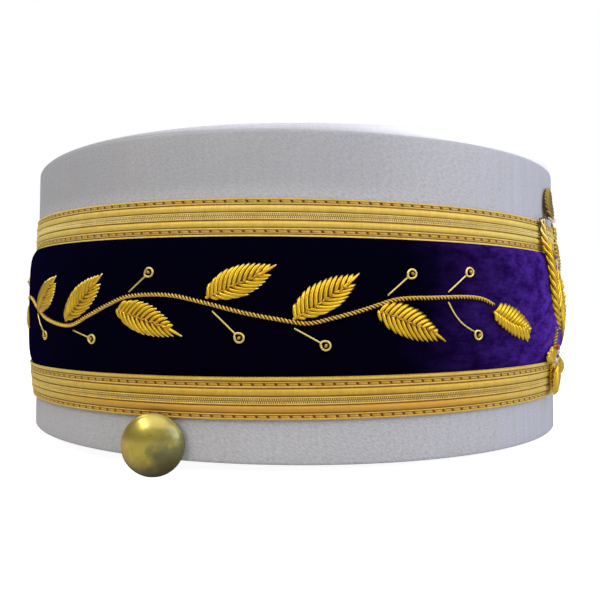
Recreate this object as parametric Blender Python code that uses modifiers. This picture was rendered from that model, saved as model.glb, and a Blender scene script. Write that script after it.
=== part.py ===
"""Round ceremonial cap: an oval satin wall with a domed crown, a velvet band between two gold braids,
a bullion laurel branch on each side, a raised palmette crest in front and two domed buttons.

The cap is modelled upright with its foot at z = 0, its front towards -Y and its right side towards -X.
The last step leans it onto its buttons, which reach a little below the foot.
"""
import math

import bmesh
import bpy
import numpy as np
from mathutils import Matrix, Vector

MM = 0.001
GAP = 0.3 * MM                    # room left between neighbouring pieces

# Oval wall, measured on its outside at the foot
HALF_LENGTH = 100 * MM
HALF_WIDTH = 84 * MM
WALL_HEIGHT = 89.4 * MM
WALL_THICKNESS = 2.5 * MM
WALL_TAPER = 0.8 * MM             # how far the wall has leaned in by its top edge
OVAL_STEPS = 64
GIRTH_LINE = 2.0 * MM             # distances round the cap are measured this far outside the foot's line
GIRTH_STEPS = 2048
CREASE = math.radians(35)         # edges sharper than this stay sharp in the shading

# Crown: a rounded shoulder, then a shallow dome
CROWN_THICKNESS = 1.5 * MM
CROWN_STAND = 0.3 * MM            # straight start of the crown above the wall's top edge
SHOULDER_RADIUS = 2.9 * MM
SHOULDER_RISE = 1.6 * MM          # how much higher it stands in front, and lower at the back
SHOULDER_TURN = math.radians(80)  # how far the shoulder turns over before the dome starts
SHOULDER_STEPS = 3
DOME_RISE = 3.5 * MM
DOME_SHARES = [0.42, 0.84]        # where the dome's rings lie between the shoulder and the middle

# Braid edges and bulge, with the rise towards the front that makes the velvet narrow there
BRAIDS = {
    # name: lower edge, upper edge, rise of each in front, and how far each edge stands out from the wall
    "lower_braid": dict(low=12.3 * MM, high=23.5 * MM, rise_low=1.3 * MM, rise_high=1.3 * MM,
                        out_low=0.9 * MM, out_high=2.1 * MM),
    "upper_braid": dict(low=60.6 * MM, high=71.3 * MM, rise_low=-0.9 * MM, rise_high=-1.1 * MM,
                        out_low=1.0 * MM, out_high=0.7 * MM),
}
RIB_HEIGHT = 0.3 * MM
RIB_PROFILE = [
    # share of the braid's width, share of the rib height
    (0.00, 0.0),
    (0.22, 1.0),
    (0.36, 0.2),
    (0.50, 1.0),
    (0.64, 0.2),
    (0.80, 1.0),
    (1.00, 0.0),
]

# Velvet band between the braids
VELVET_SWELL = 2.8 * MM           # how far its middle stands out from the wall
SEAT_REACH = 1.0 * MM             # small pieces clear whatever stands out within this height above or below
SEAT_SAMPLES = 9
VELVET_PROFILE = [
    # share of the band's width, share of the swell
    (0.00, 0.45),
    (0.07, 0.82),
    (0.22, 1.00),
    (0.78, 1.00),
    (0.93, 0.80),
    (1.00, 0.35),
]

# Laurel branch: places are given as (distance round from the front centre, height), in millimetres
STEM_RADIUS = 0.6 * MM
STEM_POINTS = 48
STEM_ROUTE = [
    (84.5, 42.9), (89, 44.5), (95, 45.0), (105, 44.7), (115, 44.3), (121, 42.7), (127, 40.8), (133.5, 39.1),
    (140, 37.8), (148, 38.9), (157, 40.6), (168, 43.3), (178, 45.2), (190, 44.6), (197.5, 41.8), (206, 38.7),
    (215, 36.3), (228, 38.0), (236, 41.3), (244, 44.2), (254, 45.2), (265, 44.2), (275, 41.2), (285, 38.4),
    (296, 37.4),
]
LEAF_HALF_WIDTH = 3.7 * MM
LEAF_HEIGHT = 1.3 * MM
LEAF_EDGE = 0.5 * MM              # thickness at the leaf's outline
LEAF_SHARES = [0.02, 0.12, 0.28, 0.46, 0.64, 0.82, 0.97]
LEAF_SECTION = [
    # share of the half width, share of the height
    (-1.0, 0.0),
    (-1.0, 0.3),
    (-0.5, 0.85),
    (0.0, 0.8),
    (0.5, 0.85),
    (1.0, 0.3),
    (1.0, 0.0),
]
LEAVES = [
    # base round, base height, tip round, tip height, in millimetres
    (83.3, 42.3, 66.6, 33.2),
    (120.4, 40.9, 101.3, 33.0),
    (143.0, 39.8, 126.1, 51.0),
    (165.5, 44.9, 148.0, 52.9),
    (193.0, 42.0, 173.0, 34.0),
    (216.0, 38.4, 199.3, 51.5),
    (239.5, 44.8, 222.0, 52.8),
    (269.5, 40.8, 249.5, 33.4),
]
BERRY_RADIUS = 1.45 * MM
BERRY_HEIGHT = 0.9 * MM
BERRY_SIDES = 12
BERRIES = [
    # stalk start round, start height, berry centre round, centre height, in millimetres
    (99.3, 43.0, 90.5, 34.4),
    (100.6, 46.3, 93.4, 52.0),
    (118.6, 45.2, 111.7, 51.5),
    (143.3, 36.5, 135.1, 32.0),
    (165.0, 40.9, 157.6, 33.9),
    (190.3, 46.0, 183.6, 51.4),
    (212.6, 34.9, 203.9, 32.6),
    (237.0, 39.6, 229.5, 32.8),
    (274.0, 45.0, 267.5, 51.0),
]

# Crest on the front, laid out about its boss
CREST_EDGE = 0.7 * MM             # thickness of the crest's pieces at their outlines
CREST_SETTLE = 4.0 * MM           # the stiff crest bridges hollows narrower than twice this
BOSS_HEIGHT_UP = 42.0 * MM
BOSS_HALF_WIDTH = 8.5 * MM
BOSS_HALF_HEIGHT = 10.5 * MM
BOSS_STEPS = 24
BOSS_PROFILE = [
    # share of the outline, height in millimetres
    (1.00, 0.0),
    (1.00, 1.4),
    (0.88, 2.2),
    (0.74, 1.6),
    (0.66, 2.6),
    (0.36, 3.6),
]
FAN_INNER = 12.0 * MM
FAN_OUTER = 37.5 * MM
FAN_SPREAD = math.radians(54)     # half of the fan's opening
FAN_LOBES = 7
FAN_STEPS_PER_LOBE = 4
FAN_NOTCH = 0.16                  # how deep the fan's outline is cut between two lobes
FAN_RIDGE = 0.9 * MM              # how far each lobe's middle stands above the fan's edge
FAN_ROUNDING = 1.5 * MM           # width of the rounded end of a lobe
SPRAY_ROUTE = [
    # round, height, width to the inside, width to the outside, ridge height, in millimetres
    (6.5, 27.0, 0.8, 0.8, 0.9),
    (15.0, 27.6, 4.6, 1.4, 1.2),
    (25.0, 30.4, 8.0, 1.8, 1.4),
    (34.0, 34.2, 10.6, 2.0, 1.5),
    (42.5, 38.8, 12.4, 2.0, 1.6),
    (48.4, 45.2, 13.0, 2.0, 1.6),
    (51.2, 53.2, 12.0, 2.0, 1.6),
    (53.4, 61.6, 9.0, 2.0, 1.5),
    (54.6, 70.6, 5.0, 1.9, 1.4),
    (50.8, 81.2, 0.5, 0.4, 0.9),
]
SPRAY_LEAFLETS = 11
SPRAY_NOTCH = 0.28
SCROLL_ROUTE = [
    # round, height, half width, ridge height, in millimetres
    (3.6, 24.6, 0.9, 0.9),
    (11.0, 22.6, 1.5, 1.2),
    (22.0, 20.4, 1.6, 1.3),
    (33.0, 19.8, 1.6, 1.3),
    (41.5, 21.6, 1.8, 1.4),
    (46.0, 23.2, 5.6, 1.6),
    (49.4, 24.4, 8.4, 1.8),
    (52.4, 25.4, 6.2, 1.8),
    (54.0, 26.0, 2.6, 1.6),
    (56.2, 26.6, 3.2, 1.4),
    (58.2, 27.2, 1.0, 1.0),
]
DROP_TOP = 25.6 * MM
DROP_TIP = 13.6 * MM
DROP_HALF_WIDTH = 2.7 * MM
DROP_HEIGHT = 1.8 * MM

# Domed buttons at the back of each side
BUTTON_RADIUS = 8.6 * MM
BUTTON_HEIGHT_UP = 4.8 * MM       # centre above the foot: less than the radius, so the button hangs below it
BUTTON_ROUND = 182.6 * MM         # distance round from the front centre
BUTTON_STEPS = 24
MERGE = 0.05 * MM                 # closes the turned profile at its axis and its seam
SHANK_RADIUS = 2.6 * MM
SHANK_LENGTH = 3.2 * MM
BUTTON_RIM = 0.6 * MM             # height of the widest part of the button's edge above the shank's end
BUTTON_PROFILE = [
    # radius as a share of the button's radius, height above the shank's end in millimetres
    (0.00, 4.4),
    (0.30, 4.15),
    (0.58, 3.45),
    (0.82, 2.35),
    (0.95, 1.35),
    (1.00, 0.90),
    (1.00, 0.30),
    (0.93, 0.00),
]

# name: base colour, roughness, metallic value
FINISHES = {
    "crown_side": ((0.56, 0.56, 0.60), 0.42, 0.0),
    "crown_top": ((0.60, 0.60, 0.66), 0.42, 0.0),
    "velvet": ((0.016, 0.006, 0.060), 0.95, 0.0),
    "upper_braid": ((0.62, 0.42, 0.10), 0.40, 0.7),
    "lower_braid": ((0.60, 0.38, 0.08), 0.40, 0.7),
    "stem": ((0.50, 0.32, 0.07), 0.38, 0.8),
    "leaf": ((0.68, 0.46, 0.07), 0.30, 0.9),
    "berry": ((0.66, 0.45, 0.10), 0.30, 0.9),
    "crest": ((0.66, 0.44, 0.06), 0.30, 0.9),
    "button": ((0.52, 0.42, 0.12), 0.24, 1.0),
}


def clear_scene():
    for obj in list(bpy.data.objects):
        bpy.data.objects.remove(obj, do_unlink=True)


def make_finish(name, colour, roughness, metallic):
    finish = bpy.data.materials.new(name + "_finish")
    finish.use_nodes = True
    shader = finish.node_tree.nodes["Principled BSDF"]
    shader.inputs["Base Color"].default_value = (*colour, 1.0)
    shader.inputs["Roughness"].default_value = roughness
    shader.inputs["Metallic"].default_value = metallic
    finish.diffuse_color = (*colour, 1.0)
    return finish


def oval_point(angle, out, height):
    """Point OUT from the foot's line at an angle round the oval: 0 in front, a quarter turn on the right."""
    return Vector((-(HALF_WIDTH + out) * math.sin(angle), -(HALF_LENGTH + out) * math.cos(angle), height))


def girth_table():
    """Angles and the distance along the oval from the front centre to each, half way round."""
    angles = np.linspace(0.0, math.pi, GIRTH_STEPS + 1)
    points = np.array([oval_point(angle, GIRTH_LINE, 0.0) for angle in angles])
    lengths = np.linalg.norm(np.diff(points, axis=0), axis=1)
    return angles, np.concatenate([[0.0], np.cumsum(lengths)])


GIRTH_ANGLES, GIRTH = girth_table()
HALF_GIRTH = float(GIRTH[-1])


def angle_round(distance):
    """Angle at a distance round from the front centre; a negative distance goes to the left side."""
    return math.copysign(float(np.interp(abs(distance), GIRTH, GIRTH_ANGLES)), distance)


def wall_out(height):
    return -WALL_TAPER * height / WALL_HEIGHT


def edge_height(height, rise, angle):
    return height + rise * math.cos(angle)


def braid_rows(braid):
    """Outer rows of a braid from its lower to its upper edge, each as (height, rise, out)."""
    rows = []
    for share, rib in RIB_PROFILE:
        height = braid["low"] + share * (braid["high"] - braid["low"])
        rise = braid["rise_low"] + share * (braid["rise_high"] - braid["rise_low"])
        stand = braid["out_low"] + share * (braid["out_high"] - braid["out_low"])
        rows.append((height, rise, wall_out(height) + stand + rib * RIB_HEIGHT))
    return rows


def velvet_rows():
    """Outer rows of the velvet from the lower braid to the upper one, each as (height, rise, out)."""
    lower, upper = BRAIDS["lower_braid"], BRAIDS["upper_braid"]
    low, high = lower["high"] + GAP, upper["low"] - GAP
    rows = []
    for share, swell in VELVET_PROFILE:
        height = low + share * (high - low)
        rise = lower["rise_high"] + share * (upper["rise_low"] - lower["rise_high"])
        rows.append((height, rise, wall_out(height) + swell * VELVET_SWELL))
    return rows


def dressed_rows():
    """Outer rows of the whole dressed wall, from the foot to the top edge."""
    foot = [(0.0, 0.0, wall_out(0.0)), (BRAIDS["lower_braid"]["low"] - GAP, 0.0, wall_out(0.0))]
    top = [(height, 0.0, wall_out(height)) for height in (BRAIDS["upper_braid"]["high"] + GAP, WALL_HEIGHT)]
    return foot + braid_rows(BRAIDS["lower_braid"]) + velvet_rows() + braid_rows(BRAIDS["upper_braid"]) + top


def surface_out(height, angle, reach):
    """How far the dressed wall stands out within REACH above or below a height."""
    rows = dressed_rows()
    heights = [edge_height(row[0], row[1], angle) for row in rows]
    outs = [row[2] for row in rows]
    samples = np.linspace(height - reach, height + reach, SEAT_SAMPLES)
    return float(np.max(np.interp(samples, heights, outs)))


def wrap(distance, height, lift, reach=SEAT_REACH):
    """Point LIFT above the dressed wall, at a distance round from the front centre."""
    angle = angle_round(distance)
    return oval_point(angle, surface_out(height, angle, reach) + lift, height)


def smooth_rows(rows, count, substeps=16):
    """Rows read evenly from a smooth curve through the given rows: a Catmull-Rom spline over the columns."""
    rows = np.array(rows, dtype=float)
    padded = np.vstack([2 * rows[0] - rows[1], rows, 2 * rows[-1] - rows[-2]])
    fine = []
    for index in range(len(rows) - 1):
        p0, p1, p2, p3 = padded[index:index + 4]
        for step in np.linspace(0.0, 1.0, substeps, endpoint=False):
            fine.append(0.5 * (2 * p1 + (p2 - p0) * step + (2 * p0 - 5 * p1 + 4 * p2 - p3) * step ** 2
                               + (3 * p1 - p0 - 3 * p2 + p3) * step ** 3))
    fine = np.array(fine + [rows[-1]])
    lengths = np.concatenate([[0.0], np.cumsum(np.linalg.norm(np.diff(fine[:, :2], axis=0), axis=1))])
    wanted = np.linspace(0.0, lengths[-1], count)
    return np.stack([np.interp(wanted, lengths, fine[:, column]) for column in range(fine.shape[1])], axis=1)


def face_outwards(shape):
    bmesh.ops.recalc_face_normals(shape, faces=shape.faces)
    if shape.calc_volume(signed=True) < 0:
        bmesh.ops.reverse_faces(shape, faces=shape.faces)
    return shape


def extruded_skin(rings, ends):
    """Closed shape that starts as a circle and is extruded ring by ring onto the given rings of points.

    ENDS is "join" where the last ring meets the first, "cap" for two closed ends, "dome" for one.
    """
    shape = bmesh.new()
    made = bmesh.ops.create_circle(shape, segments=len(rings[0]), radius=1.0)
    ring = made["verts"]
    for vertex, point in zip(ring, rings[0]):
        vertex.co = point
    first_edges = list(shape.edges)
    edges = first_edges
    for points in rings[1:]:
        order = {tuple(vertex.co): index for index, vertex in enumerate(ring)}
        made = bmesh.ops.extrude_edge_only(shape, edges=edges)
        edges = [item for item in made["geom"] if isinstance(item, bmesh.types.BMEdge)]
        new = [item for item in made["geom"] if isinstance(item, bmesh.types.BMVert)]
        ring = [None] * len(points)
        for vertex in new:
            ring[order[tuple(vertex.co)]] = vertex
        for vertex, point in zip(ring, points):
            vertex.co = point
    if ends == "join":
        bmesh.ops.bridge_loops(shape, edges=first_edges + edges)
    elif ends == "cap":
        bmesh.ops.contextual_create(shape, geom=first_edges)
        bmesh.ops.contextual_create(shape, geom=edges)
    else:
        bmesh.ops.contextual_create(shape, geom=edges)
    return face_outwards(shape)


def add_part(name, shape, finish, smooth=True):
    """Turn a shape into a named object of the cap, parented to its frame."""
    mesh = bpy.data.meshes.new(name)
    shape.to_mesh(mesh)
    shape.free()
    if smooth:
        mesh.shade_smooth()
        mesh.set_sharp_from_angle(angle=CREASE)
    mesh.materials.append(finish)
    obj = bpy.data.objects.new(name, mesh)
    bpy.data.collections["ceremonial_cap"].objects.link(obj)
    obj.parent = bpy.data.objects["cap_frame"]
    return obj


def oval_ring(height, rise, out):
    """One ring of points round the cap, evenly spaced by angle."""
    angles = [2 * math.pi * step / OVAL_STEPS for step in range(OVAL_STEPS)]
    return [oval_point(angle, out, edge_height(height, rise, angle)) for angle in angles]


def make_crown_side(finish):
    outside = [(0.0, 0.0), (WALL_HEIGHT, 0.0)]
    inside = [(WALL_HEIGHT, WALL_THICKNESS), (0.0, WALL_THICKNESS)]
    rings = [oval_ring(height, 0.0, wall_out(height) - depth) for height, depth in outside + inside]
    add_part("crown_side", extruded_skin(rings, "join"), finish)


def crown_rows():
    """Rows of the crown's outside, as (height, rise, inset), from its edge over the shoulder to the dome."""
    edge = WALL_HEIGHT + GAP
    rows = [(edge, 0.0, 0.0), (edge + CROWN_STAND, 0.0, 0.0)]
    for step in range(1, SHOULDER_STEPS + 1):
        turn = SHOULDER_TURN * step / SHOULDER_STEPS
        height = edge + CROWN_STAND + SHOULDER_RADIUS * math.sin(turn)
        rows.append((height, SHOULDER_RISE * math.sin(turn), SHOULDER_RADIUS * (1 - math.cos(turn))))
    shoulder_height, shoulder_rise, shoulder_inset = rows[-1]
    for share in DOME_SHARES:
        inset = shoulder_inset + share * (HALF_WIDTH - shoulder_inset)
        height = shoulder_height + DOME_RISE * (1 - (1 - share) ** 2)
        rows.append((height, shoulder_rise * (1 - share), inset))
    return rows


def make_crown_top(finish):
    out = wall_out(WALL_HEIGHT)
    rings = [oval_ring(height, rise, out - inset) for height, rise, inset in crown_rows()]
    crown = add_part("crown_top", extruded_skin(rings, "dome"), finish)
    shell = crown.modifiers.new("cloth on card", "SOLIDIFY")
    shell.thickness = CROWN_THICKNESS
    shell.offset = -1.0
    shell.use_even_offset = True


def make_trim(name, rows, finish):
    """Band round the wall: its outer rows, then a back that stays clear of the wall."""
    low, high = rows[0], rows[-1]
    back = [(high[0], high[1], wall_out(high[0]) + GAP), (low[0], low[1], wall_out(low[0]) + GAP)]
    add_part(name, extruded_skin([oval_ring(*row) for row in rows + back], "join"), finish)


def make_stem(side, sign, finish):
    """Twisted cord of the branch, as a round tube from the end leaf to the middle of the back."""
    route = smooth_rows(STEM_ROUTE, STEM_POINTS) * MM
    reach = HALF_GIRTH - GAP / 2
    curve = bpy.data.curves.new("stem_" + side, "CURVE")
    curve.dimensions = "3D"
    curve.bevel_depth = STEM_RADIUS
    curve.bevel_resolution = 2
    curve.use_fill_caps = True
    spline = curve.splines.new("POLY")
    spline.points.add(len(route) - 1)
    for point, (distance, height) in zip(spline.points, route):
        place = wrap(sign * min(distance, reach), height, GAP + STEM_RADIUS)
        point.co = (*place, 1.0)
    curve.materials.append(finish)
    stem = bpy.data.objects.new("stem_" + side, curve)
    bpy.data.collections["ceremonial_cap"].objects.link(stem)
    stem.parent = bpy.data.objects["cap_frame"]


def leaf_width(share):
    """Half width of a leaf along its length, as a share of its greatest half width."""
    return math.sin(math.pi * share ** 0.8) ** 0.75


def leaf_shape(base, tip, sign, half_width, height):
    """Padded leaf between two places on the wall: a rounded bar whose sides follow the leaf's outline."""
    base, tip = Vector(base), Vector(tip)
    along = (tip - base).normalized()
    across = Vector((-along.y, along.x))
    rings = []
    for share in LEAF_SHARES:
        width = half_width * leaf_width(share)
        crown = LEAF_EDGE + (height - LEAF_EDGE) * leaf_width(share)
        ring = []
        for side_share, up_share in LEAF_SECTION:
            place = base + along * share * (tip - base).length + across * side_share * width
            ring.append(wrap(sign * place.x, place.y, GAP + up_share * crown))
        rings.append(ring)
    return extruded_skin(rings, "cap")


def berry_shape(start, centre, sign):
    """Small round berry with a straight stalk: a disc with one side drawn out, then given a thickness."""
    start, centre = Vector(start), Vector(centre)
    towards_stem = (start - centre).normalized()
    across = Vector((-towards_stem.y, towards_stem.x))
    half_side = math.pi / BERRY_SIDES
    disc = bmesh.new()
    made = bmesh.ops.create_circle(disc, segments=BERRY_SIDES, radius=BERRY_RADIUS, cap_ends=True)
    for step, vertex in enumerate(made["verts"]):
        turn = half_side + 2 * half_side * step
        vertex.co = (BERRY_RADIUS * math.cos(turn), BERRY_RADIUS * math.sin(turn), 0.0)
    side = max(disc.edges, key=lambda edge: sum(vertex.co.x for vertex in edge.verts))
    stalk = bmesh.ops.extrude_edge_only(disc, edges=[side])
    for item in stalk["geom"]:
        if isinstance(item, bmesh.types.BMVert):
            item.co.x = (start - centre).length
    body = bmesh.ops.extrude_face_region(disc, geom=list(disc.faces), use_keep_orig=True)
    top = [item for item in body["geom"] if isinstance(item, bmesh.types.BMVert)]
    for vertex in top:
        vertex.co.z = BERRY_HEIGHT
    for vertex in disc.verts:
        place = centre + towards_stem * vertex.co.x + across * vertex.co.y
        vertex.co = wrap(sign * place.x, place.y, GAP + vertex.co.z)
    return face_outwards(disc)


def crest_ring(places, sign):
    """Ring of crest points from (round, height, lift) rows."""
    return [wrap(sign * around, height, GAP + lift, CREST_SETTLE) for around, height, lift in places]


def make_boss(finish):
    rings = []
    for share, lift in BOSS_PROFILE:
        turns = [2 * math.pi * step / BOSS_STEPS for step in range(BOSS_STEPS)]
        rings.append(crest_ring([(BOSS_HALF_WIDTH * share * math.cos(turn),
                                  BOSS_HEIGHT_UP + BOSS_HALF_HEIGHT * share * math.sin(turn),
                                  lift * MM) for turn in turns], 1))
    add_part("crest_boss", extruded_skin(rings, "cap"), finish)


def make_fan(finish):
    """Palmette of rounded lobes above the boss, one section for each step round it."""
    steps = FAN_LOBES * FAN_STEPS_PER_LOBE
    rings = []
    for step in range(steps + 1):
        turn = FAN_SPREAD * (2 * step / steps - 1)
        swell = abs(math.sin(math.pi * step / FAN_STEPS_PER_LOBE))
        outer = FAN_OUTER * (1 - FAN_NOTCH * (1 - swell))
        ridge = CREST_EDGE + FAN_RIDGE * swell
        section = [
            (FAN_INNER, 0.0),
            (FAN_INNER, CREST_EDGE),
            ((FAN_INNER + outer) / 2, ridge),
            (outer - FAN_ROUNDING, ridge),
            (outer, CREST_EDGE / 2),
            (outer, 0.0),
            ((FAN_INNER + outer) / 2, 0.0),
        ]
        rings.append(crest_ring([(radius * math.sin(turn), BOSS_HEIGHT_UP + radius * math.cos(turn), lift)
                                 for radius, lift in section], 1))
    add_part("crest_fan", extruded_skin(rings, "cap"), finish)


def ridge_skin(route, sign):
    """Raised ridge along a route of (round, height, inner width, outer width, ridge height) rows."""
    rings = []
    for index, (around, height, inner, outer, ridge) in enumerate(route):
        before, after = route[max(index - 1, 0)], route[min(index + 1, len(route) - 1)]
        along = Vector((after[0] - before[0], after[1] - before[1])).normalized()
        inward = Vector((-along.y, along.x))
        section = [
            (inner, 0.0),
            (inner, CREST_EDGE),
            (0.0, ridge),
            (-outer, CREST_EDGE),
            (-outer, 0.0),
        ]
        rings.append(crest_ring([(around + inward.x * shift, height + inward.y * shift, lift)
                                 for shift, lift in section], sign))
    return extruded_skin(rings, "cap")


def make_spray(side, sign, finish):
    """Palm spray at the crest's side, with a notched outline where its leaflets part."""
    route = smooth_rows(SPRAY_ROUTE, 2 * SPRAY_LEAFLETS + 1) * MM
    for index in range(2, len(route) - 1, 2):
        route[index, 2:4] *= 1 - SPRAY_NOTCH
    add_part("crest_spray_" + side, ridge_skin(route, sign), finish)


def make_scroll(side, sign, finish):
    """Curved bar below the spray that ends in three round lobes."""
    rows = [(around, height, half, half, ridge) for around, height, half, ridge in SCROLL_ROUTE]
    add_part("crest_scroll_" + side, ridge_skin(np.array(rows) * MM, sign), finish)


def button_place(sign):
    """Where a button's shank starts on the wall, and the level direction in which it stands out."""
    angle = angle_round(sign * BUTTON_ROUND)
    seat = oval_point(angle, wall_out(BUTTON_HEIGHT_UP) + GAP, BUTTON_HEIGHT_UP)
    return seat, Vector((-HALF_LENGTH * math.sin(angle), -HALF_WIDTH * math.cos(angle), 0.0)).normalized()


def make_button(side, sign, finish):
    """Domed button on a short shank, a profile turned about the button's own axis."""
    profile = [(share * BUTTON_RADIUS, SHANK_LENGTH + height * MM) for share, height in BUTTON_PROFILE]
    profile += [(SHANK_RADIUS, SHANK_LENGTH), (SHANK_RADIUS, 0.0), (0.0, 0.0)]
    outline = bmesh.new()
    points = [outline.verts.new((radius, 0.0, height)) for radius, height in profile]
    for first, second in zip(points, points[1:]):
        outline.edges.new((first, second))
    button = add_part("button_" + side, outline, finish, smooth=False)
    turning = button.modifiers.new("turned", "SCREW")
    turning.steps = turning.render_steps = BUTTON_STEPS
    turning.use_merge_vertices = True
    turning.merge_threshold = MERGE
    seat, outward = button_place(sign)
    down = Vector((0.0, 0.0, -1.0))
    turned = Matrix((down, outward.cross(down), outward)).transposed()
    button.matrix_local = Matrix.Translation(seat) @ turned.to_4x4()


def make_side(side, sign, finishes):
    """Everything that the two sides have in common: SIGN is 1 on the right side and -1 on the left."""
    make_stem(side, sign, finishes["stem"])
    for number, row in enumerate(LEAVES, start=1):
        base, tip = Vector(row[:2]) * MM, Vector(row[2:]) * MM
        shape = leaf_shape(base, tip, sign, LEAF_HALF_WIDTH, LEAF_HEIGHT)
        add_part(f"leaf_{side}_{number}", shape, finishes["leaf"])
    for number, row in enumerate(BERRIES, start=1):
        shape = berry_shape(Vector(row[:2]) * MM, Vector(row[2:]) * MM, sign)
        add_part(f"berry_{side}_{number}", shape, finishes["berry"])
    make_spray(side, sign, finishes["crest"])
    make_scroll(side, sign, finishes["crest"])
    make_button(side, sign, finishes["button"])


def rest_on_floor():
    """Lean the cap until its front foot and both buttons touch the floor, and centre its box."""
    frame = bpy.data.objects["cap_frame"]
    seat, outward = button_place(1)
    lowest = seat + outward * (SHANK_LENGTH + BUTTON_RIM)
    frame.rotation_euler.x = math.atan2(BUTTON_RADIUS - BUTTON_HEIGHT_UP, HALF_LENGTH + lowest.y)
    bpy.context.view_layer.update()
    graph = bpy.context.evaluated_depsgraph_get()
    corners = []
    for obj in bpy.data.collections["ceremonial_cap"].objects:
        if obj.type == "EMPTY":
            continue
        mesh = obj.evaluated_get(graph).to_mesh()
        corners += [obj.matrix_world @ vertex.co for vertex in mesh.vertices]
        obj.evaluated_get(graph).to_mesh_clear()
    corners = np.array(corners)
    low, high = corners.min(axis=0), corners.max(axis=0)
    frame.location = (-(low[0] + high[0]) / 2, -(low[1] + high[1]) / 2, -low[2])
    bpy.context.view_layer.update()


def main():
    clear_scene()
    collection = bpy.data.collections.new("ceremonial_cap")
    bpy.context.scene.collection.children.link(collection)
    collection.objects.link(bpy.data.objects.new("cap_frame", None))
    finishes = {name: make_finish(name, *values) for name, values in FINISHES.items()}
    make_crown_side(finishes["crown_side"])
    make_crown_top(finishes["crown_top"])
    make_trim("velvet_band", velvet_rows(), finishes["velvet"])
    for name, braid in BRAIDS.items():
        make_trim(name, braid_rows(braid), finishes[name])
    make_boss(finishes["crest"])
    make_fan(finishes["crest"])
    drop = leaf_shape(Vector((0.0, DROP_TOP)), Vector((0.0, DROP_TIP)), 1, DROP_HALF_WIDTH, DROP_HEIGHT)
    add_part("crest_drop", drop, finishes["crest"])
    for side, sign in (("right", 1), ("left", -1)):
        make_side(side, sign, finishes)
    rest_on_floor()


main()
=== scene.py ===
"""Looks of an oval ceremonial cap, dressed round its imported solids.

Trim and embroidery are modelled flat: X is the distance round the cap from the middle of its front, Y the
lift off the wall and Z the height above the foot. Each flat piece is then laid round the oval wall.
"""

import math
import random
from contextlib import contextmanager

import bmesh
import bpy
import numpy as np
from mathutils import Matrix, Quaternion, Vector


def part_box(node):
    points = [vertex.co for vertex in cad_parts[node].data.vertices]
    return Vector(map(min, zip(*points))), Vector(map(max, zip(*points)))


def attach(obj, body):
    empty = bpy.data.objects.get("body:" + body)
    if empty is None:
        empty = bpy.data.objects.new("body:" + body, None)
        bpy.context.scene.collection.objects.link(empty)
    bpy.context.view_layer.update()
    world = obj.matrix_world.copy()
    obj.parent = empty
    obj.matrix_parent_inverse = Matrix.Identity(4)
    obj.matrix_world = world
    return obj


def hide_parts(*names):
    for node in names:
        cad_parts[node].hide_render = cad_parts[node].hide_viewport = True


MM = 0.001
CENTIMETRES = 100                 # in a metre: flat maps are in centimetres

# Oval wall and crown, as the solids have them
HALF_LENGTH = 100 * MM
HALF_WIDTH = 84 * MM
WALL_HEIGHT = 89.4 * MM
WALL_THICKNESS = 2.5 * MM
WALL_TAPER = 0.8 * MM
GIRTH_LINE = 2.0 * MM
GIRTH_STEPS = 4096
ROUND_STEPS = 384
SPLINE_STEPS = 16
WALL_FOLD = 0.7 * MM              # radius of the wall's turned edges
# Degrees, and millimetres for the rise and the stand
CROWN_EDGE = [
    # degrees from the front, how far the wall's top edge is drawn up there, how high the shoulder stands
    (0, 0.0, 4.50),
    (38, 0.0, 4.45),
    (50, 0.0, 4.20),
    (60, 0.05, 3.80),
    (75, 0.2, 3.05),
    (88, 0.5, 2.75),
    (100, 0.8, 2.60),
    (112, 1.05, 2.25),
    (125, 1.15, 1.70),
    (136, 0.85, 1.15),
    (146, 0.3, 0.80),
    (160, 0.2, 0.55),
    (180, 0.2, 0.45),
]
EDGE_FOOT = 80 * MM               # the wall is drawn up only above this height
CROWN_CENTRE = 96.2 * MM
CROWN_THICKNESS = 2.0 * MM
CROWN_SEAT = 0.05 * MM            # how deep the crown's foot lies below the wall's top edge
CROWN_INSET = 0.25 * MM
CROWN_TUCK = 0.35 * MM            # how far the crown's hem goes in behind its foot
SHOULDER_TURN = math.radians(84.0)
LEAST_SHOULDER = 0.3 * MM
GAP = 0.3 * MM
SEAM = 0.01 * MM                  # points nearer than this to each other are one point

# nominal height, rise towards the front, and how far the trim stands out from the wall, in millimetres
TRIM_LINES = [
    (12.3, 1.3, 0.9),
    (23.5, 1.3, 2.1),
    (60.6, -0.9, 1.0),
    (71.3, -1.1, 0.7),
]
LOWER_BRAID = dict(outer=12.3, inner=23.5, sink=0.12)
UPPER_BRAID = dict(outer=71.0, inner=60.5, sink=0.42)
BRAID_RIBS = [
    # start and end as shares of the braid's width from its outer edge, height in millimetres, paleness
    # The edge ribs' paleness is partly a painted highlight, where light catches the braid's edges.
    (0.000, 0.034, 0.30, 0.4),
    (0.104, 0.142, 0.28, 0.6),
    (0.160, 0.330, 0.46, 0.1),
    (0.350, 0.390, 0.38, 0.9),
    (0.500, 0.540, 0.38, 0.9),
    (0.562, 0.732, 0.46, 0.0),
    (0.752, 0.800, 0.34, 0.7),
    (0.874, 0.900, 0.28, 0.5),
    (0.920, 1.000, 0.30, 0.35),
]
RIB_SHARES = [0.0, 0.06, 0.22, 0.5, 0.78, 0.94, 1.0]
BRAID_GROOVE = -0.12 * MM
BRAID_FULL = 0.55 * MM            # from a groove to the top of the highest rib
LADDER = dict(pitch=0.57 * MM, length=0.34 * MM, width=0.60 * MM, rise=0.30 * MM, lift=0.16 * MM,
              slant=0.1, pale=1.3)
LADDER_ROWS = [0.414, 0.474]
STITCH_ROWS = [0.066, 0.837]
HOLE_SHADOW_HALF = 0.25 * MM           # half width of the painted shadow strip under the stitches
HOLE_SHADOW_LOW, HOLE_SHADOW_HIGH = -0.3 * MM, -0.04 * MM
STITCH = dict(pitch=3.1 * MM, length=2.5 * MM, width=0.72 * MM, rise=0.26 * MM, lift=0.0, slant=0.5)
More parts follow.
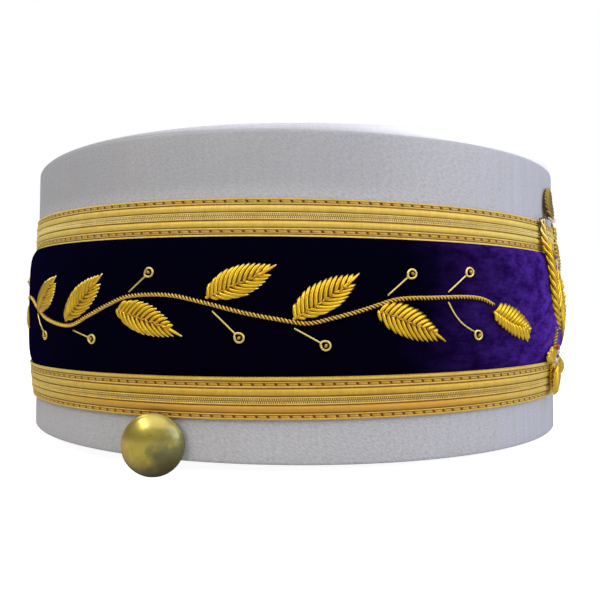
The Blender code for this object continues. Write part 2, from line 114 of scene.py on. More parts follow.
PICOT = dict(pitch=0.8 * MM, length=0.7 * MM, width=0.46 * MM, rise=0.4 * MM, lift=0.06 * MM, slant=0.5,
             sides=0.42, pale=0.2)
PICOT_ROWS = [0.0, 1.0]

VELVET_SWELL = 2.8 * MM
VELVET_EDGE = 0.3 * MM            # how far the velvet runs under a braid, and its lift there
VELVET_LOW = LOWER_BRAID["inner"] * MM
VELVET_HIGH = UPPER_BRAID["inner"] * MM
VELVET_PROFILE = [
    # share of the band's width, share of the swell
    (0.00, 0.45),
    (0.07, 0.82),
    (0.22, 1.00),
    (0.50, 1.03),
    (0.78, 1.00),
    (0.93, 0.80),
    (1.00, 0.35),
]
VELVET_ROWS = 28

# Laurel branch, in millimetres: distance round, height
STEM_ROUTE = [
    (84.5, 42.9), (89, 44.5), (95, 45.0), (105, 44.7), (115, 44.3), (121, 42.7), (127, 40.8), (133.5, 39.1),
    (140, 37.8), (148, 38.9), (157, 40.6), (168, 43.3), (178, 45.2), (190, 44.9), (197.5, 42.6), (206, 39.2),
    (215, 36.3), (228, 38.0), (236, 41.3), (244, 44.2), (254, 45.2), (265, 44.2), (275, 41.2), (285, 38.4),
    (296, 37.4),
]
STEM = dict(ply=0.26, turn=0.40, pitch=2.1, plies=2)
# Radius in millimetres of the dark tube that paints shade between the stem's plies
STEM_GAP_SHADE = 0.18
TURN_STEPS = 12                   # points for each turn of a twisted cord
PILE_SINK = 0.4                   # how deep the embroidery is drawn into the pile, in millimetres
# Where the branch starts and ends sinking deeper into the pile at the back, and by how much
BACK_SINK = (238.0, 252.0, 0.6)
LEAVES = [
    # base round, base height, tip round, tip height
    (84.0, 42.4, 67.0, 33.0),
    (121.5, 41.9, 101.2, 32.8),
    (144.1, 38.9, 126.1, 51.1),
    (167.2, 44.6, 147.9, 53.2),
    (194.4, 42.0, 173.4, 34.0),
    (216.9, 37.7, 200.3, 51.5),
    (235.8, 40.2, 223.2, 51.5),
    (269.5, 40.8, 249.5, 33.4),
]
# For each form of leaf, first for its lower and then for its upper side: half width, radius and number of
# its strands, their angles to the axis at the base and at the tip, how far towards the tip the widest place
# is, and the share of the length that the side takes up. VEIN has shares of the length and how far below the
# axis the vein lies there. GROOVE is how much lower the strands start at the vein, as a share of the height.
# ENDS has how far below the axis the strands that close a blunt tip end.
RISING_LEAF = dict(half_width=(4.1, 4.3), height=0.95, radius=(0.49, 0.55), count=(11, 12),
                   turns=((40.0, 17.0), (60.0, 26.0)), skew=(1.1, 0.85), vein=((0.0, 0.8), (0.5, 0.8)),
                   body=(1.0, 0.97), power=0.85, reach=0.80)
HANGING_LEAF = dict(half_width=(4.1, 4.45), height=0.95, radius=(0.47, 0.55), count=(11, 12),
                    turns=((42.0, 22.0), (70.0, 36.0)), skew=(0.80, 0.84), vein=((0.0, 0.8), (0.7, -0.8)),
                    body=(0.95, 0.95), power=0.8, reach=0.78)
FRONT_LEAF = dict(half_width=(3.7, 4.3), height=1.1, radius=(0.60, 0.58), count=(11, 12), blunt=True,
                  groove=0.8, turns=((42.0, 22.0), (76.0, 42.0)), skew=(0.61, 1.2), ends=(-1.6, 0.0, 1.6),
                  vein=((0.0, 0.08, 0.43, 0.8), (1.5, 1.4, 0.9, -1.3)))
NO_VEIN = ((0.0, 1.0), (0.0, 0.0))
STRAND_CURL = (0.31, 0.72)        # shares of a strand's way along and out where it turns forwards
STRAND_POINTS = 10
END_POINTS = 9
STRAND_START = 0.012              # share of a vein before its first strand
STRAND_LIMIT = 0.972              # share of a leaf's length that no side strand passes
EDGE_TRIES = 14                   # steps in which a strand's end finds the leaf's edge
TURN_EASE = 0.8
CHIP_POINTS = 5
CHIP_SWELL = [0.6, 1.0, 1.0, 1.0, 0.6]
CHIP_RADIUS = 0.25
VEIN_CHIPS = 13
PAD_ENDS = (0.08, 0.86)           # shares of a leaf's length between which its pad lies
PAD_INSET = 1.0
PAD_SINK = 0.15
BERRIES = [
    # stalk start round, start height, berry centre round, centre height, bow of the stalk
    (100.6, 43.6, 90.5, 34.4, 1.3),
    (100.6, 46.3, 93.4, 52.0, 0.0),
    (118.6, 45.2, 111.7, 51.1, 0.0),
    (143.3, 36.5, 135.1, 32.0, 0.0),
    (165.0, 40.9, 157.6, 33.9, 0.0),
    (190.3, 46.0, 183.6, 51.4, 0.0),
    (212.6, 34.9, 203.9, 32.6, 0.0),
    (237.0, 39.6, 229.5, 32.8, 0.6),
    (274.0, 45.0, 267.5, 51.0, 0.0),
]
BERRY = dict(ring=1.18, wire=0.34, stalk=0.25, chip=0.42, point=0.25)

# Crest, in millimetres, laid out about its boss
BOSS_CENTRE = (0.0, 42.0)
BOSS_HALF = (8.5, 10.5)
BOSS_INSET = 0.9                  # how far the silk ends inside the boss's edge
BOSS_LIFT = 0.5
BOSS_SWELL = 2.7
BOSS_BEAD_LIFT = 3.9
FAN_INNER = 12.0
FAN_OUTER = 37.5
FAN_SPREAD = 54.0
FAN_LOBES = 7
BOSS_RIMS = [
    # inset from the boss's edge, lift, ply, turn, pitch, number of points
    (0.6, 1.3, 0.62, 0.55, 3.4, 160),
    (2.1, 2.3, 0.30, 0.26, 1.7, 140),
]
ROSETTE_PETALS = 8
ROSETTE_INNER = (1.2, 1.4)
ROSETTE_OUTER = (5.0, 6.0)
FAN_DROOP = 1.0                   # how much nearer to the wall the outermost lobes lie, in millimetres
FAN_ARCHES = [
    # distance outside the lobes' feet, lift, ply, turn, pitch
    (0.6, 1.6, 0.60, 0.52, 3.2),
    (3.0, 1.4, 0.34, 0.30, 1.9),
]
SPRAY_ROUTE = [
    # round, height, width to the inside, width to the outside
    (6.5, 27.0, 0.8, 0.8),
    (15.0, 27.6, 4.6, 1.4),
    (25.0, 30.4, 8.0, 1.8),
    (34.0, 34.2, 10.6, 2.0),
    (42.5, 38.8, 12.4, 2.0),
    (48.4, 45.2, 13.0, 2.0),
    (51.2, 53.2, 12.0, 2.0),
    (53.4, 61.6, 9.0, 2.0),
    (54.6, 70.6, 5.0, 1.9),
]
SPRAY_ROPE = dict(turn=0.74, pitch=9.6, plies=3)
ROPE_RADIUS = 1.4
SPRAY_LEAFLETS = 21
LEAFLETS_FROM, LEAFLETS_TO = 0.04, 0.80   # shares of the rope between which leaflets start from it
LEAFLET_BEND = (0.02, 0.50)       # shares of the spray's width ahead and inwards, where a leaflet bends
LEAFLET_END = (0.62, 0.86)        # and where it ends
LEAFLET_FORM = dict(rise=0.45, thick=0.66)
STRAND_SWELL = [0.6, 0.85, 1.0, 1.05, 1.05, 1.0, 0.92, 0.76, 0.45]
INNER_CORD = [(38.5, 44.6), (42.6, 48.6), (45.6, 53.4), (47.6, 59.2), (48.6, 64.6), (49.3, 70.2)]
SPRAY_BEADS = [(45.6, 58.9), (44.9, 57.1), (44.1, 55.4), (43.1, 53.8), (42.0, 52.3), (40.8, 50.9)]
SPRAY_BEAD_LIFT = 0.35
SPRAY_CHIPS = 30
SPRAY_CHIP = dict(rise=0.3, thick=0.44)
FIN = dict(base=(46.7, 71.4), tip=(44.7, 82.2), half_width=3.7, lift=0.55)
CUFF = [(50.8, 71.5), (49.0, 70.9), (46.8, 70.7), (44.4, 71.1), (42.2, 72.0)]
LEAFLET_LIFTS = [(36.0, 0.05), (42.0, 0.6), (48.0, 0.5), (56.0, -0.1), (63.0, -0.65)]
BAR_LIFTS = [(16.0, 1.3), (28.0, 0.0), (38.0, -1.1)]
ROPE_LIFTS = [(24.0, -0.9), (37.0, -0.5), (45.0, 0.35), (50.0, 0.85), (60.0, 0.85)]
ROPE_TAPER = [(0.0, 0.3), (0.3, 0.45), (0.44, 0.66), (0.58, 0.95), (0.9, 0.95), (1.0, 0.7)]
SCROLL_ROUTE = [(3.6, 24.6), (11.0, 22.6), (22.0, 20.4), (33.0, 19.8), (41.5, 21.6), (47.0, 24.2)]
SCROLL_HEART = (50.2, 25.2)
SCROLL_PETALS = [
    # tip round, tip height, half width, lift
    (56.4, 27.2, 1.6, 0.3),
    (47.6, 13.8, 3.1, 1.1),
    (46.0, 15.0, 1.8, -0.6),
    (52.2, 29.6, 1.5, 0.0),
    (44.6, 28.4, 1.8, -0.6),
]
SCROLL_BEADS = [
    # colour, distance round, lift, height
    ("red", 45.6, 0.7, 29.3),
    ("pearl", 45.2, 0.7, 27.5),
    ("pearl", SCROLL_HEART[0], 1.3, SCROLL_HEART[1]),
]
SCROLL_STALK = [(49.4, 27.6), (48.0, 30.6), (46.2, 33.4), (45.4, 35.6)]
DROP_ENDS = (25.6, 13.6)
CREST_TURNS = ((68.0, 30.0), (68.0, 30.0))
FIN_TURNS = ((64.0, 44.0), (64.0, 44.0))
PETAL_TURNS = ((46.0, 20.0), (46.0, 20.0))
ROSETTE_LEAF = dict(half_width=1.25, height=0.5, radius=0.3, count=5, turns=CREST_TURNS, lift=2.7)
FAN_LEAF = dict(half_width=3.7, height=1.2, radius=0.58, count=15, turns=CREST_TURNS, blunt=True)
FAN_CHIPS = dict(count=14, half=1.0)
FIN_LEAF = dict(height=0.9, radius=0.52, count=9, turns=FIN_TURNS, blunt=True)
PETAL_LEAF = dict(height=0.9, radius=0.5, count=8, turns=PETAL_TURNS, blunt=True)
DROP_LEAF = dict(half_width=2.7, height=1.4, radius=0.5, count=11, turns=CREST_TURNS, lift=0.4)
INNER_TWIST = dict(ply=0.46, turn=0.5, pitch=5.0, plies=3)
CUFF_TWIST = dict(ply=0.24, turn=0.2, pitch=1.6)
BAR_TWIST = dict(ply=0.62, turn=0.55, pitch=3.6)
BAR_EDGES = (-1.75, 1.75)         # how far below and above the bar its thin edge cords lie
EDGE_TWIST = dict(ply=0.32, turn=0.28, pitch=1.8)
STALK_TWIST = dict(ply=0.4, turn=0.36, pitch=2.4)
BEAD_RADIUS = 0.95

# Buttons
BUTTON_RADIUS = 8.6 * MM
BUTTON_HEIGHT_UP = 4.8 * MM
BUTTON_ROUND = 182.6 * MM
BUTTON_TURN = math.radians(19)    # towards the front, on its shank
SHANK_LENGTH = 3.2 * MM
SHANK_RADIUS = 2.6 * MM
BUTTON_STEPS = 96
BUTTON_PROFILE = [
    # radius as a share of the button's radius, height above the shank's end in millimetres
    (0.000, 4.40), (0.150, 4.33), (0.300, 4.15), (0.450, 3.84), (0.600, 3.40), (0.720, 2.92), (0.820, 2.38),
    (0.895, 1.84), (0.940, 1.44), (0.952, 1.26), (0.962, 1.20), (0.978, 1.22), (0.992, 1.12), (1.000, 0.90),
    (1.000, 0.62), (0.992, 0.36), (0.975, 0.16), (0.930, 0.00), (0.860, 0.10), (0.700, 0.02), (0.320, 0.00),
]

# Camera, about the upright cap: it looks at the right side from the level of the velvet
PICTURE_PIXELS = 600
SENSOR = 36.0
FOCAL_PIXELS = 562.5
EYE_DISTANCE = 233.4 * MM
EYE_HEIGHT = 42.1 * MM
EYE_SWING = math.radians(3.10)
EYE_YAW = math.radians(-0.57)
EYE_PITCH = math.radians(0.70)
EYE_ROLL = math.radians(-0.23)

FLOOR_WHITE = 0.94                # light that the floor itself gives where the camera sees it
SKY_TINT = (0.93, 0.94, 1.0)
SKY_STRENGTH = 0.30
SOFTBOXES = [
    # name, place and aim in metres, size, power, colour, turn about its own axis in degrees
    ("overhead", (-0.42, 0.0, 1.3), (0.0, 0.0, 0.0), (2.0, 2.4), 20.0, (1.0, 0.99, 0.98), 0.0),
    ("left_lamp", (-0.60, 0.585, 0.76), (-0.08, 0.0, 0.01), (0.10, 0.80), 2.8, (1.0, 0.97, 0.92), 62.0),
    ("right_sky", (-1.05, -1.85, 0.9), (0.0, 0.0, 0.05), (1.5, 1.5), 26.0, (0.84, 0.89, 1.0), 0.0),
]


def oval_place(angle, out):
    """Place on the cap's plan, OUT from the line of its foot; ANGLE is from the front."""
    return -(HALF_WIDTH + out) * np.sin(angle), -(HALF_LENGTH + out) * np.cos(angle)


def girth_table():
    """Angles round the oval and the distance along it from the front centre to each, half way round."""
    angles = np.linspace(0.0, math.pi, GIRTH_STEPS + 1)
    line = np.stack(oval_place(angles, GIRTH_LINE), 1)
    lengths = np.linalg.norm(np.diff(line, axis=0), axis=1)
    return angles, np.concatenate([[0.0], np.cumsum(lengths)])


def cap_to_floor():
    """Where the upright cap stands: held up at its back by its buttons, as its solids are."""
    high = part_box("crown_side")[1]
    run = 2 * HALF_LENGTH - WALL_TAPER
    lean = math.asin(high.z / math.hypot(WALL_HEIGHT, run)) - math.atan2(WALL_HEIGHT, run)
    place = Vector((0.0, high.y - HALF_LENGTH * math.cos(lean), HALF_LENGTH * math.sin(lean)))
    return Matrix.Translation(place) @ Matrix.Rotation(lean, 4, "X")


GIRTH_ANGLES, GIRTH = girth_table()
HALF_GIRTH = float(GIRTH[-1])
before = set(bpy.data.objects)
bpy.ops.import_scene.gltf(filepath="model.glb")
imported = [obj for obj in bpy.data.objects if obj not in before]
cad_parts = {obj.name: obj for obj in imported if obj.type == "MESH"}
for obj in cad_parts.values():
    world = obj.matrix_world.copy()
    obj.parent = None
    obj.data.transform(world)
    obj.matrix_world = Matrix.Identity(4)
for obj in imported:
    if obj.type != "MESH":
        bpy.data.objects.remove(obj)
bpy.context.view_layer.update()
TO_FLOOR = cap_to_floor()
chance = random.Random(7)


def smooth_rows(rows, count):
    """Rows read evenly from a smooth curve through the given rows: a Catmull-Rom spline over the columns."""
    rows = np.array(rows, dtype=float)
    padded = np.vstack([2 * rows[0] - rows[1], rows, 2 * rows[-1] - rows[-2]])
    fine = []
    for index in range(len(rows) - 1):
        p0, p1, p2, p3 = padded[index:index + 4]
        for step in np.linspace(0.0, 1.0, SPLINE_STEPS, endpoint=False):
            fine.append(0.5 * (2 * p1 + (p2 - p0) * step + (2 * p0 - 5 * p1 + 4 * p2 - p3) * step ** 2
                               + (3 * p1 - p0 - 3 * p2 + p3) * step ** 3))
    fine = np.array(fine + [rows[-1]])
    lengths = np.concatenate([[0.0], np.cumsum(np.linalg.norm(np.diff(fine[:, :2], axis=0), axis=1))])
    wanted = np.linspace(0.0, lengths[-1], count)
    return np.stack([np.interp(wanted, lengths, fine[:, column]) for column in range(fine.shape[1])], axis=1)


EDGE_TABLE = smooth_rows(CROWN_EDGE, 240)
VELVET_TABLE = smooth_rows(VELVET_PROFILE, 64)
TRIM_TABLE = np.array(TRIM_LINES) * MM


def edge_rise(angle):
    """How far the wall's top edge is drawn up; ANGLE is from the front."""
    return np.interp(np.degrees(np.abs(angle)), EDGE_TABLE[:, 0], EDGE_TABLE[:, 1]) * MM


# Seats: how far out from the foot's line the surface under a piece lies, by nominal height

def wall_out(height):
    return -WALL_TAPER * height / WALL_HEIGHT


def trim_rise(height):
    return np.interp(height, TRIM_TABLE[:, 0], TRIM_TABLE[:, 1])


def trim_out(height):
    return wall_out(height) + np.interp(height, TRIM_TABLE[:, 0], TRIM_TABLE[:, 2])


def velvet_swell(share):
    return VELVET_SWELL * np.interp(share, VELVET_TABLE[:, 0], VELVET_TABLE[:, 1])


def nominal_height(height, angle):
    """Height that a place on the wall would have without the trim's rise towards the front."""
    return height - trim_rise(height) * np.cos(angle)


def velvet_out(height):
    share = np.clip((height - VELVET_LOW) / (VELVET_HIGH - VELVET_LOW), 0.0, 1.0)
    return wall_out(height) + velvet_swell(share)


def dressed_out(height):
    """The wall with all its trim on it."""
    on_velvet = (height > VELVET_LOW) & (height < VELVET_HIGH)
    out = np.where(on_velvet, velvet_out(height), trim_out(height) + GAP)
    bare = (height < LOWER_BRAID["outer"] * MM) | (height > UPPER_BRAID["outer"] * MM)
    return np.where(bare, wall_out(height), out)


def crest_out(height):
    """The dressed wall as a stiff crest bridges it: its highest place within a few millimetres."""
    reach = np.linspace(-4.0, 4.0, 17) * MM
    table = np.linspace(0.0, WALL_HEIGHT, 180)
    highest = np.max([dressed_out(table + step) for step in reach], axis=0)
    eased = np.convolve(np.pad(highest, 6, mode="edge"), np.ones(13) / 13, mode="valid")
    return np.interp(height, table, eased)


def on_cap(around, lift, height, seat, follows_trim):
    """Points of the standing cap for flat places laid on a seat."""
    angle = np.copysign(np.interp(np.abs(around), GIRTH, GIRTH_ANGLES), around)
    if follows_trim:
        out = seat(height) + lift
        height = height + trim_rise(height) * np.cos(angle)
    else:
        out = seat(nominal_height(height, angle)) + lift
        drawn = np.clip((height - EDGE_FOOT) / (WALL_HEIGHT - EDGE_FOOT), 0.0, 1.0)
        height = height + edge_rise(angle) * drawn
    upright = np.stack([*oval_place(angle, out), height], 1)
    turn = np.array(TO_FLOOR.to_3x3())
    return upright @ turn.T + np.array(TO_FLOOR.translation)


def coordinates(mesh):
    co = np.empty(len(mesh.vertices) * 3)
    mesh.vertices.foreach_get("co", co)
    return co.reshape(-1, 3)


def place_points(mesh, points):
    mesh.vertices.foreach_set("co", np.asarray(points, dtype=float).ravel())
    mesh.update()


def only(obj):
    bpy.ops.object.select_all(action="DESELECT")
    obj.select_set(True)
    bpy.context.view_layer.objects.active = obj
    return obj


def made(name):
    """The object that the last operator made, named and alone in the selection."""
    obj = bpy.context.object
    obj.name = obj.data.name = name
    return only(obj)


def added(name, data):
    """New object that shows the given curve, camera or light."""
    obj = bpy.data.objects.new(name, data)
    bpy.context.scene.collection.objects.link(obj)
    return obj


@contextmanager
def editing(obj):
    """Edit mode on OBJ alone, with all of it selected."""
    only(obj)
    bpy.ops.object.mode_set(mode="EDIT")
    bpy.ops.mesh.select_all(action="SELECT")
    yield
    bpy.ops.object.mode_set(mode="OBJECT")


def corner_points(mesh):
    """The point that lies at each corner of the mesh's faces."""
    points = np.empty(len(mesh.loops), dtype=int)
    mesh.loops.foreach_get("vertex_index", points)
    return points


def note_flat(obj, axes=(0, 2)):
    """Keep each corner's flat place as a UV map, in centimetres, for patterns that follow the cloth."""
    mesh = obj.data
    flat = coordinates(mesh)[corner_points(mesh)][:, list(axes)]
    layer = mesh.uv_layers.get("laid") or mesh.uv_layers.new(name="laid")
    layer.data.foreach_set("uv", (flat * CENTIMETRES).ravel())


def note_value(obj, name, values):
    """Keep a number for each point as an attribute that a finish reads."""
    layer = obj.data.attributes.new(name, "FLOAT", "POINT")
    layer.data.foreach_set("value", values)


def lay_round(obj, seat, side=1, follows_trim=False):
    """Lay a flat piece round the wall; SIDE is -1 for the mirrored piece on the left."""
    note_flat(obj)
    co = coordinates(obj.data)
    place_points(obj.data, on_cap(side * co[:, 0], co[:, 1], co[:, 2], seat, follows_trim))
    if side < 0:
        obj.data.flip_normals()
    return obj


def close_seams(obj):
    with editing(obj):
        bpy.ops.mesh.remove_doubles(threshold=SEAM)
        bpy.ops.mesh.normals_make_consistent(inside=False)


def smooth(obj, degrees=40.0):
    only(obj)
    bpy.ops.object.shade_smooth_by_angle(angle=math.radians(degrees))


def apply_modifier(obj, kind, **settings):
    only(obj)
    modifier = obj.modifiers.new(kind.lower(), kind)
    for name, value in settings.items():
        setattr(modifier, name, value)
    bpy.ops.object.modifier_apply(modifier=modifier.name)


def joined(objects, name):
    bpy.ops.object.select_all(action="DESELECT")
    for obj in objects:
        obj.select_set(True)
    bpy.context.view_layer.objects.active = objects[0]
    if len(objects) > 1:
        bpy.ops.object.join()
    return made(name)


def finished(obj, finish, slot, *nodes):
    """Give a piece its finish, attach it to the root and hide the solids that it stands in for."""
    obj.data.materials.clear()
    obj.data.materials.append(finish)
    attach(obj, "root")
    if nodes:
        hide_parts(*nodes)
    return obj


# Shapes

def band(name, rows, seat, follows_trim=True):
    """Band all round the cap from a closed profile of (height, lift) rows."""
    rows = rows + [rows[0]]
    bpy.ops.mesh.primitive_grid_add(x_subdivisions=ROUND_STEPS, y_subdivisions=len(rows) - 1, size=1.0)
    obj = made(name)
    columns = ROUND_STEPS + 1
    around = np.linspace(-HALF_GIRTH, HALF_GIRTH, columns)
    points = np.empty((len(rows), columns, 3))
    points[:, :, 0] = around
    points[:, :, 1] = np.array([row[1] for row in rows])[:, None]
    points[:, :, 2] = np.array([row[0] for row in rows])[:, None]
    place_points(obj.data, points.reshape(-1, 3))
    lay_round(obj, seat, follows_trim=follows_trim)
    close_seams(obj)
    return obj


def tubes(name, paths, bevel):
    """Tubes along flat paths of (points, radii).

    Attributes keep the run along each in millimetres, the share of its way and a tone of its own.
    """
    curve = bpy.data.curves.new(name, "CURVE")
    curve.dimensions = "3D"
    curve.bevel_depth = 1.0
    curve.bevel_resolution = bevel
    runs = []
    for points, radii in paths:
        spline = curve.splines.new("POLY")
        spline.points.add(len(points) - 1)
        spline.points.foreach_set("co", np.column_stack([points, np.ones(len(points))]).ravel())
        spline.points.foreach_set("radius", np.asarray(radii, dtype=float))
        steps = np.linalg.norm(np.diff(points, axis=0), axis=1)
        runs.append(np.concatenate([[0.0], np.cumsum(steps)]))
    only(added(name, curve))
    bpy.ops.object.convert(target="MESH")
    obj = made(name)
    runs = np.concatenate(runs)
    sides = len(obj.data.vertices) // len(runs)
    ways = np.concatenate([np.linspace(0.0, 1.0, len(points)) for points, _ in paths])
    tones = np.concatenate([np.full(len(points), chance.random()) for points, _ in paths])
    note_value(obj, "run", np.repeat(runs, sides) / MM)
    note_value(obj, "way", np.repeat(ways, sides))
    note_value(obj, "tone", np.repeat(tones, sides))
    with editing(obj):
        bpy.ops.mesh.fill_holes(sides=0)
    obj.data.shade_smooth()
    return obj


def thread_piece(name, paths, finish, seat, side, bevel, *nodes, slot="gold_bullion"):
    """Strands or cords of metal thread, laid on their seat as one finished piece."""
    return finished(lay_round(tubes(name, paths, bevel), seat, side), finish, slot, *nodes)


def wire(points, radii):
    """Path for a tube, from flat places and one radius or one for each, in millimetres."""
    return np.array(points) * MM, np.full(len(points), radii) * MM


def bowed(start, bend, end, t):
    """Place at share T of a curve from START to END that is drawn towards BEND."""
    return start * (1 - t) ** 2 + bend * 2 * t * (1 - t) + end * t ** 2


def flat_frame(base, tip):
    base, tip = np.array(base, dtype=float), np.array(tip, dtype=float)
    length = float(np.linalg.norm(tip - base))
    along = (tip - base) / length
    return base, along, np.array([-along[1], along[0]]), length


def pair(value):
    return value if isinstance(value, tuple) else (value, value)


def leaf_outline(share, skew=0.9, power=0.6, body=1.0):
    """Half width of a leaf along its length, as a share of its greatest.

    SKEW above 1 moves the widest place towards the tip. BODY is the share of the length that is filled.
    """
    share = min(max(share / body, 0.0), 1.0)
    return math.sin(math.pi * share ** skew) ** power


def leaf_rise(outline):
    """Height of a leaf where it has that share of its greatest half width, as a share of its greatest."""
    return 0.45 + 0.55 * outline


def strand_places(count, first, last, phase):
    """Shares of a vein where strands leave it, so that they lie side by side at whatever angle."""
    fine = np.linspace(0.0, 1.0, 65)
    angles = np.radians(first + (last - first) * fine[1:] ** TURN_EASE)
    spread = np.concatenate([[0.0], np.cumsum(np.sin(angles))])
    return np.interp((np.arange(count) + phase) / count * spread[-1], spread, fine)


def leaf_strands(base, tip, half_width, height, radius, count, turns, lift=0.0, blunt=False, skew=None,
                 vein=NO_VEIN, body=1.0, power=0.6, reach=None, groove=0.22, ends=None):
    """Purl strands of a padded leaf, in millimetres: from its vein they sweep out and forwards to its edge.

    TURNS gives for each side the mean angle of its strands to the leaf's axis at the base and at the tip.
    """
    base, along, across, length = flat_frame(base, tip)
    skews = pair(skew or (1.15 if blunt else 0.9))
    power = 0.42 if blunt else power
    reach = reach or (0.86 if blunt else 0.79)
    curl_along, curl_out = STRAND_CURL
    paths = []
    sides = zip((1, -1), turns, pair(half_width), pair(count), skews, pair(body), pair(radius))
    for side, (first, last), width, number, lean, part, thick in sides:
        for place in strand_places(number, first, last, 0.25 if side > 0 else 0.75):
            inner = length * (STRAND_START + reach * place)
            turn = math.radians(first + (last - first) * place ** TURN_EASE)
            off = float(np.interp(inner / length, *vein))
            outer = inner
            for _ in range(EDGE_TRIES):
                out = width * leaf_outline(outer / length, lean, power, part)
                wanted = inner + max(out - side * off, 0.2) / math.tan(turn)
                outer = min(0.5 * (outer + wanted), STRAND_LIMIT * length)
            out *= chance.uniform(0.97, 1.03)
            edge = leaf_outline(outer / length, lean, power, part)
            start = np.array([inner, off - 0.2 * side])
            end = np.array([outer, out * side])
            bend = start + (end - start) * np.array([curl_along, curl_out])
            points, radii = [], []
            swell = height * leaf_rise(edge)
            for t in np.linspace(0.0, 1.0, STRAND_POINTS):
                flat = bowed(start, bend, end, t)
                crown = 1.0 - 0.86 * t ** 2.6 - groove * math.exp(-(t / 0.16) ** 2)
                spot = base + along * flat[0] + across * flat[1]
                points.append((spot[0], lift + thick * 0.35 + swell * crown, spot[1]))
                radii.append(thick * min(1.0, 0.72 + 2.0 * t, 0.40 + 2.6 * (1 - t)))
            paths.append(wire(points, radii))
    if ends is None:
        ends = () if blunt else (0.0,)
    for swing in ends:
        points, radii = [], []
        for t in np.linspace(0.0, 1.0, END_POINTS):
            share = 0.72 + (0.275 - 0.014 * abs(swing)) * t
            aside = np.interp(share, *vein) * (1 - t) + swing * t
            spot = base + along * length * share + across * aside
            points.append((spot[0], lift + thick * 0.5 + height * (0.74 - 0.62 * t), spot[1]))
            radii.append(0.85 * thick * min(1.0, 0.6 + 3 * t, 0.42 + 1.6 * (1 - t)))
        paths.append(wire(points, radii))
    return paths


def vein_chips(base, tip, lift, count, half=0.7, vein=NO_VEIN):
    """Short chips of purl that lie to and fro along a leaf's vein."""
    base, along, across, length = flat_frame(base, tip)
    paths = []
    for number in range(count):
        share = 0.05 + 0.78 * (number + chance.uniform(0.2, 0.8)) / count
        tilt = math.radians(chance.uniform(10, 40)) * (1 if number % 2 else -1)
        way = along * math.cos(tilt) + across * math.sin(tilt)
        off = np.interp(share, *vein) + chance.uniform(-0.12, 0.12)
        middle = base + along * share * length + across * off
        reach = half * chance.uniform(0.8, 1.15)
        stands = lift * (0.7 + 0.3 * math.sin(math.pi * share))
        points = []
        for t in np.linspace(-1.0, 1.0, CHIP_POINTS):
            spot = middle + way * reach * t
            points.append((spot[0], stands - 0.12 * t * t, spot[1]))
        paths.append(wire(points, np.array(CHIP_SWELL) * CHIP_RADIUS))
    return paths


def leaf_pad(name, base, tip, half_width, height, lift=0.0):
    """Felt pad under a leaf's strands: a ball cut in half and drawn out to the leaf's outline."""
    base, along, across, length = flat_frame(base, tip)
    lying = (0.0, math.pi / 2, 0.0)
    bpy.ops.mesh.primitive_uv_sphere_add(segments=16, ring_count=12, radius=1.0, rotation=lying)
    obj = made(name)
    bpy.ops.object.transform_apply(location=False, rotation=True, scale=False)
    with editing(obj):
        bpy.ops.mesh.bisect(plane_co=(0, 0, 0), plane_no=(0, 0, 1), use_fill=True, clear_inner=True)
    co = coordinates(obj.data)
    points = []
    for x, y, z in co:
        share = (x + 1) / 2
        ring = math.sqrt(max(1 - x * x, 1e-9))
        within = 0 < share < 1
        reach = half_width * leaf_outline(share) if within else 0.0
        rise = height * leaf_rise(leaf_outline(share)) if within else 0.0
        place = base + along * length * share + across * reach * y / ring
        points.append((place[0], lift + rise * max(z, 0.0) / ring, place[1]))
    place_points(obj.data, np.array(points) * MM)
    close_seams(obj)
    return obj


def twisted(route, ply, turn, pitch, plies=2, hand=1):
    """Paths of the plies of a twisted cord along a flat route of (round, lift, height) points.

    All is in millimetres. PLY is a radius, or a taper: shares of the run and the cord's size at each.
    """
    route = np.asarray(route, dtype=float)
    steps = np.linalg.norm(np.diff(route, axis=0), axis=1)
    lengths = np.concatenate([[0.0], np.cumsum(steps)])
    count = max(int(lengths[-1] / pitch * TURN_STEPS), 8)
    wanted = np.linspace(0.0, lengths[-1], count + 1)
    line = np.stack([np.interp(wanted, lengths, route[:, column]) for column in range(3)], axis=1)
    tangent = np.gradient(line, axis=0)
    tangent /= np.linalg.norm(tangent, axis=1)[:, None]
    up = np.array([0.0, 1.0, 0.0])
    beside = np.cross(tangent, up)
    beside /= np.linalg.norm(beside, axis=1)[:, None]
    above = np.cross(beside, tangent)
    paths = []
    for number in range(plies):
        phase = hand * 2 * math.pi * wanted / pitch + 2 * math.pi * number / plies
        size = np.ones(len(wanted)) if np.isscalar(ply) else np.interp(wanted / lengths[-1], *ply)
        swing = turn * size
        points = line + swing[:, None] * (np.cos(phase)[:, None] * above + np.sin(phase)[:, None] * beside)
        radius = (ply if np.isscalar(ply) else turn * 0.92) * size
        ends = np.minimum(1.0, 0.5 + np.minimum(wanted, wanted[::-1]) / (2 * pitch))
        paths.append(wire(points, radius * ends))
    return paths


# Finishes: sums of sockets are written as plain expressions

class Shade:
    """A socket of a finish. Sums and products of shades add Math nodes to it."""

    def __init__(self, finish, socket):
        self.finish = finish
        self.socket = socket

    def maths(self, operation, *values):
        return self.finish.node("ShaderNodeMath", {"operation": operation}, values)

    def __add__(self, other):
        return self.maths("ADD", self, other)

    def __radd__(self, other):
        return self.maths("ADD", other, self)

    def __sub__(self, other):
        return self.maths("SUBTRACT", self, other)

    def __rsub__(self, other):
        return self.maths("SUBTRACT", other, self)

    def __mul__(self, other):
        return self.maths("MULTIPLY", self, other)

    def __rmul__(self, other):
        return self.maths("MULTIPLY", other, self)

    def sine(self):
        return self.maths("SINE", self)

    def size(self):
        return self.maths("ABSOLUTE", self)

    def between(self, low, high):
        """0 below LOW, 1 above HIGH, smooth between."""
        return self.finish.node("ShaderNodeMapRange", {"interpolation_type": "SMOOTHSTEP", "clamp": True},
                                {"Value": self, "From Min": low, "From Max": high})


